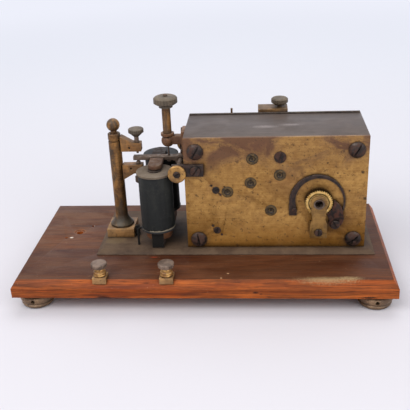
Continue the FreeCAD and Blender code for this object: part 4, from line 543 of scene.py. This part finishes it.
def nut_brass(graph, shader, point):
    """Grey and dusty on the knurled head, bright on the rubbed rings under it."""
    head = graph.between(graph.parts(point)["Z"], 0.0372, 0.0382)
    mottle = blotches(graph, point, (160.0, 160.0, 160.0), 0.5, 0.12)
    rings = graph.mix(mottle, rgb(196, 152, 88), rgb(132, 92, 50))
    cap = graph.mix(mottle, rgb(130, 108, 92), rgb(88, 70, 58))
    colour = graph.mix(head, rings, cap)
    colour = graph.mix(dust(graph, point, 0.5, 150.0), colour, rgb(140, 124, 112))
    # Painted shade and grime in the corners and narrow gaps
    colour = graph.tint(colour, crevice_shade_and_dirt(graph, point, 1.6), 0.9, rgb(40, 27, 16))
    graph.feed(shader["Base Color"], colour)
    graph.feed(shader["Metallic"], graph.value_mix(head, 0.65, 0.35))
    graph.feed(shader["Roughness"], graph.value_mix(head, 0.36, 0.56))
    graph.feed(shader["Normal"], graph.bump(graph.noise(point, 1200.0, 3.0), 0.2, 0.1))


def on_cover(x, y, wide, deep, ragged, core):
    """A mark on top of the cover: its place and its reach, how ragged it is and how much of it is solid."""
    return (x, y, COVER_TOP), (wide, deep, 2), ragged, core


# Pale rubbed patches, dark ones along the back, and the rubbed line along the front
COVER_MARKS = [
    (rgb(150, 138, 134), 0.6, [on_cover(50, 4, 15, 5, 1.0, 0.0), on_cover(70, 8, 13, 4, 1.0, 0.0)]),
    (rgb(60, 48, 38), 0.6, [on_cover(28, 33, 12, 4, 0.9, 0.1), on_cover(58, 36.8, 92, 1.8, 0.5, 0.4)]),
    (rgb(122, 96, 66), 0.6, [on_cover(58, -19.4, 92, 1.3, 0.5, 0.4)]),
]


def cover_finish(graph, shader, point):
    along = streaks(graph, point, (30.0, 700.0, 700.0))
    cloud = blotches(graph, point, (20.0, 34.0, 34.0), 0.5, 0.14)
    colour = graph.mix(along, rgb(66, 55, 48), rgb(85, 72, 64))
    colour = graph.tint(colour, cloud, 0.65, rgb(64, 52, 45))
    colour = graph.mix(dust(graph, point, 0.26, 60.0), colour, rgb(116, 100, 90))
    specks = blotches(graph, point, (500.0, 500.0, 500.0), 0.66, 0.04)
    colour = graph.tint(colour, specks, 0.4, rgb(46, 37, 31))
    colour = graph.tint(colour, wear(graph, point, 150.0), 0.6, rgb(134, 112, 88))
    colour = paint_marks(graph, colour, point, COVER_MARKS)
    graph.feed(shader["Base Color"], colour)
    graph.feed(shader["Metallic"], graph.between(cloud, 0.0, 1.0, 0.22, 0.10))
    graph.feed(shader["Roughness"], graph.value_mix(cloud, 0.44, 0.60))
    graph.feed(shader["Normal"], graph.bump(graph.noise(point, 700.0, 4.0), 0.2, 0.2))


def wrap_paper(graph, shader, point):
    down = streaks(graph, point, (170.0, 170.0, 14.0))
    around = streaks(graph, point, (30.0, 30.0, 520.0))
    rubbed = blotches(graph, point, (70.0, 70.0, 42.0), 0.57, 0.08)
    colour = graph.mix(down, rgb(11, 13, 13), rgb(30, 32, 31))
    colour = graph.tint(colour, around, 0.3, rgb(38, 40, 38))
    colour = graph.tint(colour, rubbed, 0.4, rgb(50, 50, 44))
    grit = blotches(graph, point, (700.0, 700.0, 700.0), 0.66, 0.05)
    colour = graph.tint(colour, grit, 0.3, rgb(96, 90, 78))
    colour = graph.tint(colour, wear(graph, point), 0.5, rgb(92, 88, 78))
    graph.feed(shader["Base Color"], colour)
    graph.feed(shader["Roughness"], graph.value_mix(down, 0.52, 0.68))
    shader["Specular IOR Level"].default_value = 0.3
    graph.feed(shader["Normal"], graph.bump(graph.math("ADD", down, around), 0.35, 0.2))


def torn_paper(graph, shader, point):
    fibre = graph.noise(point, 900.0, 4.0, 0.7)
    colour = graph.mix(fibre, rgb(88, 78, 62), rgb(152, 142, 122))
    graph.feed(shader["Base Color"], colour)
    graph.feed(shader["Roughness"], graph.between(fibre, 0.0, 1.0, 0.8, 0.95))
    graph.feed(shader["Normal"], graph.bump(fibre, 0.4, 0.2))


def cheek_fibre(graph, shader, point):
    """The front coil's top disc is grey-brown. The back coil's disc and both lower discs are painted near
    black, as painted shade.
    """
    fibre = graph.noise(point, 700.0, 5.0, 0.7)
    cloud = blotches(graph, point, (70.0, 70.0, 70.0), 0.5, 0.16)
    colour = graph.mix(fibre, rgb(84, 70, 56), rgb(122, 106, 88))
    colour = graph.tint(colour, cloud, 0.5, rgb(66, 54, 44))
    colour = graph.mix(dust(graph, point, 0.4, 80.0), colour, rgb(142, 128, 110))
    axes = graph.parts(point)
    # Painted shade: the back coil's disc and the lower discs are painted near black
    below, behind = graph.between(axes["Z"], 0.070, 0.060), graph.between(axes["Y"], 0.006, 0.008)
    black = graph.math("MAXIMUM", below, behind)
    colour = graph.mix(black, colour, graph.mix(fibre, rgb(16, 17, 18), rgb(42, 42, 42)))
    colour = graph.tint(colour, wear(graph, point), 0.5, rgb(140, 122, 96))
    # Painted shade and grime in the corners and narrow gaps
    colour = graph.tint(colour, crevice_shade_and_dirt(graph, point, 2.0), 0.7, rgb(22, 17, 13))
    graph.feed(shader["Base Color"], colour)
    graph.feed(shader["Roughness"], graph.between(cloud, 0.0, 1.0, 0.62, 0.78))
    graph.feed(shader["Normal"], graph.bump(fibre, 0.3, 0.2))


def black_fibre(graph, shader, point):
    braid = graph.noise(graph.scaled(point, (900.0, 900.0, 1600.0)), 1.0, 3.0, 0.6)
    colour = graph.mix(braid, rgb(12, 11, 10), rgb(34, 31, 28))
    colour = graph.tint(colour, wear(graph, point), 0.6, rgb(84, 76, 66))
    graph.feed(shader["Base Color"], colour)
    graph.feed(shader["Roughness"], graph.between(braid, 0.0, 1.0, 0.7, 0.9))
    shader["Specular IOR Level"].default_value = 0.2
    graph.feed(shader["Normal"], graph.bump(braid, 0.5, 0.2))


def seen_directly(graph):
    """1 for what the camera sees itself, in a reflection or through glass, and 0 for light on its way."""
    path = graph.node("ShaderNodeLightPath").outputs
    return graph.math("MAXIMUM", path["Is Camera Ray"],
                      graph.math("MAXIMUM", path["Is Glossy Ray"], path["Is Transmission Ray"]))


BACKDROP = rgb(238, 240, 251)


def floor_finish(graph, shader, point):
    """Pale paper that goes over into the backdrop with the distance from the object."""
    # Painted light: the floor is painted a little darker towards the front and brighter further back
    depth = graph.between(graph.parts(point)["Y"], -0.20, 1.1)
    colour = graph.mix(depth, rgb(222, 219, 225), rgb(241, 243, 252))
    paper = graph.noise(point, 40.0, 3.0)
    graph.feed(shader["Base Color"], graph.tint(colour, paper, 0.03, rgb(210, 208, 216)))
    graph.feed(shader["Roughness"], graph.between(paper, 0.0, 1.0, 0.85, 0.95))
    shader["Specular IOR Level"].default_value = 0.1
    tree = graph.tree
    output = tree.nodes["Material Output"]
    away = graph.between(graph.vector("LENGTH", point), 0.55, 1.5)
    glow = graph.node("ShaderNodeEmission")
    glow.inputs["Color"].default_value = BACKDROP
    joined = graph.node("ShaderNodeMixShader")
    tree.links.new(graph.math("MULTIPLY", away, seen_directly(graph)), joined.inputs[0])
    tree.links.new(tree.nodes["Principled BSDF"].outputs[0], joined.inputs[1])
    tree.links.new(glow.outputs[0], joined.inputs[2])
    tree.links.new(joined.outputs[0], output.inputs["Surface"])


FINISHES = {
    "board": board_wood,
    "deck": deck_finish,
    "plate": plate_brass,
    "old_brass": brass_material(rgb(78, 56, 34), rgb(128, 94, 54), rgb(68, 52, 38), 0.5),
    "post_brass": brass_material(rgb(76, 50, 28), rgb(164, 118, 64), rgb(54, 42, 30), 0.85, rough=0.38,
                                 blotch=(120.0, 120.0, 52.0), foot=47.0),
    "tube_brass": brass_material(rgb(84, 56, 32), rgb(166, 120, 68), rgb(58, 44, 32), 0.75, rough=0.4,
                                 blotch=(95.0, 95.0, 42.0)),
    "arm_brass": brass_material(rgb(108, 72, 40), rgb(164, 118, 66), rgb(72, 52, 34), 0.5, metal=0.55,
                                rough=0.42),
    "red_brass": brass_material(rgb(94, 58, 36), rgb(142, 98, 58), rgb(74, 50, 36), 0.5, metal=0.5),
    "hub_brass": brass_material(rgb(124, 86, 46), rgb(186, 142, 80), rgb(70, 50, 32), 0.5, rough=0.38),
    "block_brass": brass_material(rgb(128, 92, 54), rgb(176, 132, 82), rgb(96, 76, 50), 0.4, metal=0.4,
                                  dusty=0.2),
    "knob_brass": brass_material(rgb(80, 70, 58), rgb(124, 108, 88), rgb(60, 52, 42), 0.5, metal=0.45,
                                 rough=0.46, dusty=0.45),
    "clean_brass": brass_material(rgb(150, 112, 56), rgb(206, 166, 98), rgb(106, 74, 40), 0.3, metal=0.7,
                                  rough=0.32, dusty=0.1, crevice_shade_and_dirt_share=1.0),
    "cock_brass": brass_material(rgb(112, 82, 42), rgb(160, 122, 66), rgb(84, 60, 32), 0.5, metal=0.55,
                                 rough=0.38, dusty=0.1),
    "foot_brass": brass_material(rgb(92, 66, 46), rgb(152, 122, 92), rgb(70, 52, 38), 0.5, metal=0.45,
                                 rough=0.42),
    "arbor": arbor_brass,
    "nut": nut_brass,
    "ratchet": ratchet_brass,
    "bush": bush_brass,
    "dark_steel": steel_material(rgb(34, 27, 24), rgb(62, 51, 46), rgb(82, 46, 28), 0.5, rough=0.40),
    "spring_steel": steel_material(rgb(30, 24, 24), rgb(52, 42, 38), rgb(74, 46, 32), 0.35, rough=0.4,
                                   dusty=0.1),
    "click_steel": steel_material(rgb(26, 19, 17), rgb(52, 38, 32), rgb(92, 46, 26), 0.5, rough=0.5,
                                  dusty=0.1),
    "plain_steel": steel_material(rgb(92, 78, 68), rgb(122, 106, 94), rgb(86, 58, 40), 0.45),
    "rusty_iron": steel_material(rgb(80, 56, 40), rgb(112, 88, 68), rgb(94, 56, 34), 0.5, metal=0.3,
                                 rough=0.55, painted_shade_from=4.0),
    "yoke_iron": steel_material(rgb(84, 52, 32), rgb(112, 76, 48), rgb(110, 60, 30), 0.6, metal=0.3,
                                rough=0.6),
    "core_iron": steel_material(rgb(26, 22, 20), rgb(44, 38, 34), rgb(70, 44, 30), 0.4, metal=0.4,
                                rough=0.6),
    "cover": cover_finish,
    "wrap": wrap_paper,
    "torn": torn_paper,
    "cheek": cheek_fibre,
    "black_fibre": black_fibre,
    "floor": floor_finish,
}
materials = {name: new_material(name, build) for name, build in FINISHES.items()}

NODE_FINISH = {
    "board": ["base_board"],
    "deck": ["deck_plate"],
    "plate": ["front_plate", "back_plate"],
    "old_brass": ["rear_bracket", "paper_guide", "case_pillars", "fly_cocks", "press_arm",
                  "mainspring_barrel"],
    "block_brass": ["stop_block", "terminal_blocks"],
    "post_brass": ["stop_post"],
    "tube_brass": ["tension_tube"],
    "arm_brass": ["upper_stop_arm", "lower_stop_arm"],
    "hub_brass": ["lever_hubs"],
    "red_brass": ["tension_bracket"],
    "knob_brass": ["tension_knob", "upper_stop_knob", "press_knob"],
    "nut": ["terminal_nut_left", "terminal_nut_right", "terminal_washer_left", "terminal_washer_right"],
    "arbor": ["second_arbor", "third_arbor", "fourth_arbor", "feed_arbor", "ink_arbor"],
    "clean_brass": ["press_roll"],
    "ratchet": ["ratchet_wheel"],
    "cock_brass": ["winding_cock"],
    "foot_brass": ["base_feet"],
    "bush": ["pivot_bushes"],
    "dark_steel": ["case_screws", "front_screws", "deck_screws", "lever_screws", "bracket_screws"],
    "click_steel": ["click"],
    "spring_steel": ["click_spring", "fly", "lever_cocks"],
    "plain_steel": ["winding_arbor", "armature_lever", "lever_arbor", "spring_hook", "upper_stop_screw",
                    "lower_stop_screw", "tension_rod", "tension_spring", "press_screw"],
    "rusty_iron": ["armature"],
    "yoke_iron": ["magnet_yoke"],
    "core_iron": ["magnet_cores"],
    "cover": ["dust_cover"],
    "wrap": ["coil_wraps"],
    "cheek": ["coil_cheeks"],
    "black_fibre": ["coil_leads"],
}
finish_of = {node: name for name, members in NODE_FINISH.items() for node in members}
body_of = {node: body for body, members in bodies.items() for node in members}

for node, piece in nodes.items():
    piece.data.materials.clear()
    piece.data.materials.append(materials[finish_of[node]])


# Pieces

def finished(name, bm, finish, body, node=None, smooth=35.0):
    """Makes the object from its bmesh, with its finish, its shading and what it rides on."""
    mesh = bpy.data.meshes.new(name)
    bm.to_mesh(mesh)
    bm.free()
    mesh.materials.append(materials[finish])
    for face in mesh.polygons:
        face.use_smooth = True
    mesh.set_sharp_from_angle(angle=math.radians(smooth))
    piece = bpy.data.objects.new(name, mesh)
    collection().objects.link(piece)
    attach(piece, body)
    if node:
        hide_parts(node)
    return piece


def merged(node):
    """The solid's mesh with doubled points and needless edges taken out."""
    bm = bmesh.new()
    bm.from_mesh(nodes[node].data)
    bmesh.ops.remove_doubles(bm, verts=bm.verts, dist=0.002 * MM)
    bmesh.ops.dissolve_limit(bm, angle_limit=math.radians(0.6), verts=bm.verts, edges=bm.edges)
    return bm


def round_edges(bm, width, segments, sharp=32.0):
    """Bevels the edges that are sharper than an angle in degrees, and marks the new faces as worn."""
    layer = bm.faces.layers.float.new("wear")
    limit = math.radians(sharp)
    edges = [edge for edge in bm.edges
             if len(edge.link_faces) == 2 and abs(edge.calc_face_angle(0.0)) > limit]
    done = bmesh.ops.bevel(bm, geom=edges, offset=width * MM, offset_type="OFFSET", segments=segments,
                           profile=0.5, affect="EDGES", clamp_overlap=True, material=-1)
    for face in done["faces"]:
        face[layer] = 1.0
    return bm


def softened(node, width):
    """A copy of the solid's shape with its hard edges rounded, as a real worn edge is."""
    bm = round_edges(merged(node), width, 2)
    return finished(node + "_worn", bm, finish_of[node], body_of[node], node)


def turn_screw(bm, x, z, reach, degrees):
    """Turns the front screw that stands within reach of x, z about its own axis."""
    found = [vert for vert in bm.verts if vert.co.y < 0
             and math.hypot(vert.co.x - x * MM, vert.co.z - z * MM) < reach * MM]
    turn = Matrix.Rotation(math.radians(-degrees), 3, "Y")
    bmesh.ops.rotate(bm, verts=found, cent=(x * MM, 0, z * MM), matrix=turn)


# How wide each piece's rounded edges are, in millimetres
EDGE_WIDTHS = {
    "base_board": 0.7, "deck_plate": 0.4, "front_plate": 0.2, "dust_cover": 0.2, "stop_block": 0.35,
    "upper_stop_arm": 0.4, "lower_stop_arm": 0.4, "tension_bracket": 0.35, "lever_cocks": 0.25,
    "armature": 0.3, "armature_lever": 0.25, "winding_cock": 0.2, "click": 0.3, "rear_bracket": 0.3,
    "magnet_yoke": 0.4, "terminal_blocks": 0.3, "back_plate": 0.2, "press_arm": 0.2, "coil_cheeks": 0.2,
    "lever_hubs": 0.2, "ratchet_wheel": 0.08,
}
for node, width in EDGE_WIDTHS.items():
    softened(node, width)

heads = merged("case_screws")
turn_screw(heads, x=120.1, z=115.1, reach=8.0, degrees=45.0)
finished("case_screws_worn", round_edges(heads, 0.25, 2), "dark_steel", "frame", "case_screws")


def spun(points, centre, axis, steps, angle=360.0):
    """Spins a line of points about an axis. Points and centre are in millimetres, the angle in degrees."""
    bm = bmesh.new()
    verts = [bm.verts.new(Vector(point) * MM) for point in points]
    edges = [bm.edges.new(pair) for pair in zip(verts, verts[1:])]
    bmesh.ops.spin(bm, geom=verts + edges, cent=Vector(centre) * MM, axis=axis, angle=math.radians(angle),
                   steps=steps, use_merge=angle == 360.0)
    bmesh.ops.remove_doubles(bm, verts=bm.verts, dist=0.001 * MM)
    bmesh.ops.recalc_face_normals(bm, faces=bm.faces)
    bm.faces.layers.float.new("wear")
    return bm


# The paper round each coil, in millimetres. The lap runs out over some degrees, and the seam slants by some
# degrees for each millimetre up.
WRAP_LOW = 47.8
WRAP_HIGH = 94.5
WRAP_RADIUS = 13.95
WRAP_BORE = 5.4
WRAP_EDGE = 0.3
LAP_THICKNESS = 0.22
LAP_DEGREES = 70.0
SEAM_SLANT = 0.12
WRAP_SLACK = 0.18


def coil_wrap(name, y, seam):
    """Black paper rolled round the winding, a little slack, with its free edge lapped over itself."""
    bore, rim = COIL_X + WRAP_BORE, COIL_X + WRAP_RADIUS
    line = [(bore, y, WRAP_LOW), (rim - WRAP_EDGE, y, WRAP_LOW)]
    rows = 36
    tall = WRAP_HIGH - WRAP_LOW - 2 * WRAP_EDGE
    line += [(rim, y, WRAP_LOW + WRAP_EDGE + tall * row / rows) for row in range(rows + 1)]
    line += [(rim - WRAP_EDGE, y, WRAP_HIGH), (bore, y, WRAP_HIGH), (bore, y, WRAP_LOW)]
    bm = spun(line, (COIL_X, y, 0), (0, 0, 1), 120)
    for vert in bm.verts:
        offset = Vector((vert.co.x - COIL_X * MM, vert.co.y - y * MM, 0))
        if offset.length < (WRAP_RADIUS - 1.0) * MM:
            continue
        turn = math.degrees(math.atan2(offset.y, offset.x)) - seam - (vert.co.z / MM - WRAP_LOW) * SEAM_SLANT
        lap = LAP_THICKNESS * max(0.0, 1.0 - (turn % 360.0) / LAP_DEGREES)
        ripple = noise.noise(Vector((offset.x * 260, offset.y * 260, vert.co.z * 45 + y))) * 0.16
        dent = noise.noise(Vector((offset.x * 90, offset.y * 90, vert.co.z * 60 - y))) * 0.14
        vert.co += offset.normalized() * (lap + ripple + dent - WRAP_SLACK) * MM
    return finished(name, bm, "wrap", "frame", "coil_wraps", 50.0)


coil_wrap("coil_paper_front", COIL_FRONT_Y, seam=-62.0)
coil_wrap("coil_paper_back", COIL_BACK_Y, seam=40.0)


def torn_rim(name, y, start, sweep):
    """The pale torn edge of the paper round the foot of a coil, from one angle on over a sweep."""
    low = 47.3
    side = COIL_X + 14.1
    line = [(side, y, low), (side + 0.1, y, low + 0.5), (side, y, low + 1.2)]
    bm = spun(line, (COIL_X, y, 0), (0, 0, 1), 90, sweep)
    for vert in bm.verts:
        rag = noise.noise(Vector((vert.co.x * 700, vert.co.y * 700, 3.0))) * 0.7
        if vert.co.z > (low + 0.9) * MM:
            vert.co.z += rag * MM
        elif vert.co.z < (low + 0.2) * MM:
            vert.co.z -= abs(rag) * 0.5 * MM
    turn = Matrix.Rotation(math.radians(start), 3, "Z")
    bmesh.ops.rotate(bm, verts=bm.verts, cent=(COIL_X * MM, y * MM, 0), matrix=turn)
    bmesh.ops.solidify(bm, geom=bm.faces[:], thickness=0.15 * MM)
    bmesh.ops.recalc_face_normals(bm, faces=bm.faces)
    return finished(name, bm, "torn", "frame", smooth=60.0)


torn_rim("coil_rim_front", COIL_FRONT_Y, start=-112.0, sweep=118.0)


def rounded_block(name, low, high, width, finish):
    """A block between two corners, in millimetres, with rounded edges."""
    low, high = Vector(low) * MM, Vector(high) * MM
    bm = bmesh.new()
    bmesh.ops.create_cube(bm, size=1.0)
    bmesh.ops.scale(bm, verts=bm.verts, vec=high - low)
    bmesh.ops.translate(bm, verts=bm.verts, vec=(low + high) / 2)
    return finished(name, round_edges(bm, width, 3), finish, "frame")


STRAP_LEFT = -43.4
STRAP_RIGHT = -33.6
STRAP_TOP = 45.8
for name, front, back in (("core_strap_front", -23.3, -22.02), ("core_strap_back", 36.02, 37.3)):
    rounded_block(name, (STRAP_LEFT, front, DECK_TOP), (STRAP_RIGHT, back, STRAP_TOP), 0.4, "black_fibre")
rounded_block("lead_tag", (-60.9, -0.4, DECK_TOP), (-57.0, 1.2, 41.2), 0.5, "black_fibre")
rounded_block("cover_lip", (-13.4, 36.7, COVER_TOP), (129.1, 39.5, COVER_TOP + 0.9), 0.3, "core_iron")


# The click spring's leaf, in millimetres and degrees
LEAF_CENTRE = Vector((90.8, PLATE_FRONT - 0.05, 72.0))
LEAF_OUTER = 22.0
LEAF_INNER = 16.2
LEAF_HEIGHT = 23.4
LEAF_SWEEP = 205.0
LEAF_BROAD = 4.9
LEAF_THINNING = 4.2
LEAF_TIP = 1.3
LEAF_THICK = 1.5
LEAF_FOOT = 11.6
LEAF_FOOT_TAPER = 1.2


def points_of(geometry):
    return [part for part in geometry if isinstance(part, bmesh.types.BMVert)]


def leaf_spring():
    """Crescent spring: broad at its foot, thinning round the top to its free tip."""
    bm = bmesh.new()
    ends = [bm.verts.new((LEAF_CENTRE + Vector((-reach, 0, 0))) * MM) for reach in (LEAF_OUTER, LEAF_INNER)]
    first = bm.edges.new(ends)
    bmesh.ops.spin(bm, geom=ends + [first], cent=LEAF_CENTRE * MM, axis=(0, 1, 0),
                   angle=math.radians(LEAF_SWEEP), steps=48)
    rise = LEAF_HEIGHT / LEAF_OUTER
    for vert in bm.verts:
        x, z = vert.co.x / MM - LEAF_CENTRE.x, vert.co.z / MM - LEAF_CENTRE.z
        turn = math.degrees(math.atan2(z, x))
        gone = (180.0 - turn) / LEAF_SWEEP if turn > -90.0 else 0.0
        width = max(LEAF_TIP, LEAF_BROAD - LEAF_THINNING * gone)
        if math.hypot(x, z) < (LEAF_OUTER + LEAF_INNER) / 2:
            share = (LEAF_OUTER - width) / LEAF_INNER
            x, z = x * share, z * share
        vert.co.x, vert.co.z = (LEAF_CENTRE.x + x) * MM, (LEAF_CENTRE.z + z * rise) * MM
    foot = points_of(bmesh.ops.extrude_edge_only(bm, edges=[first])["geom"])
    bmesh.ops.translate(bm, verts=foot, vec=(0, 0, -LEAF_FOOT * MM))
    max(foot, key=lambda vert: vert.co.x).co.x += LEAF_FOOT_TAPER * MM
    slab = points_of(bmesh.ops.extrude_face_region(bm, geom=bm.faces[:])["geom"])
    bmesh.ops.translate(bm, verts=slab, vec=(0, -LEAF_THICK * MM, 0))
    bmesh.ops.recalc_face_normals(bm, faces=bm.faces)
    round_edges(bm, 0.3, 2, 50.0)
    return finished("click_spring_leaf", bm, "spring_steel", "frame", "click_spring")


leaf_spring()


# Floor, lights and camera

LAMP_TARGET = (0, 0, 0.05)


def make_floor():
    bm = bmesh.new()
    bmesh.ops.create_grid(bm, x_segments=1, y_segments=1, size=6.0)
    mesh = bpy.data.meshes.new("floor")
    bm.to_mesh(mesh)
    bm.free()
    mesh.materials.append(materials["floor"])
    floor = bpy.data.objects.new("floor", mesh)
    collection().objects.link(floor)


def add_lamp(name, size, power, place):
    """A rectangular soft box that faces the object."""
    data = bpy.data.lights.new(name, "AREA")
    data.shape = "RECTANGLE"
    data.size, data.size_y = size
    data.energy = power
    lamp = bpy.data.objects.new(name, data)
    aim = Vector(LAMP_TARGET) - Vector(place)
    lamp.matrix_world = Matrix.Translation(place) @ aim.to_track_quat("-Z", "Y").to_matrix().to_4x4()
    collection().objects.link(lamp)


def set_world():
    """Soft light from all sides, with a plain backdrop where the camera looks past the floor."""
    world = bpy.data.worlds.new("studio")
    bpy.context.scene.world = world
    world.use_nodes = True
    tree = world.node_tree
    tree.nodes.clear()
    graph = Graph(tree)
    seen = seen_directly(graph)
    light = graph.node("ShaderNodeBackground")
    light.inputs["Color"].default_value = (0.95, 0.97, 1.0, 1.0)
    light.inputs["Strength"].default_value = 0.45
    backdrop = graph.node("ShaderNodeBackground")
    backdrop.inputs["Color"].default_value = BACKDROP
    backdrop.inputs["Strength"].default_value = 1.0
    chosen = graph.node("ShaderNodeMixShader")
    tree.links.new(seen, chosen.inputs[0])
    tree.links.new(light.outputs[0], chosen.inputs[1])
    tree.links.new(backdrop.outputs[0], chosen.inputs[2])
    output = graph.node("ShaderNodeOutputWorld")
    tree.links.new(chosen.outputs[0], output.inputs["Surface"])


def set_camera():
    """The photo's view."""
    data = bpy.data.cameras.new("photo_view")
    data.sensor_width = 36.0
    data.lens = 61.96
    data.clip_start = 0.02
    data.clip_end = 30.0
    camera = bpy.data.objects.new("photo_view", data)
    tilt, roll, heading = 65.11611, 2.32841, 4.00305
    turn = Euler([math.radians(degrees) for degrees in (tilt, roll, heading)]).to_matrix()
    camera.matrix_world = Matrix.Translation((0.047199, -0.533914, 0.307810)) @ turn.to_4x4()
    collection().objects.link(camera)
    bpy.context.scene.camera = camera


make_floor()
set_world()
add_lamp("key_box", size=(1.3, 1.0), power=17.0, place=(-0.7, -0.9, 1.3))
add_lamp("fill_box", size=(1.2, 1.0), power=9.0, place=(1.1, -0.9, 0.9))
add_lamp("top_box", size=(1.6, 1.4), power=10.0, place=(0.1, 0.7, 1.6))
set_camera()
bpy.context.scene.view_settings.view_transform = "Standard"

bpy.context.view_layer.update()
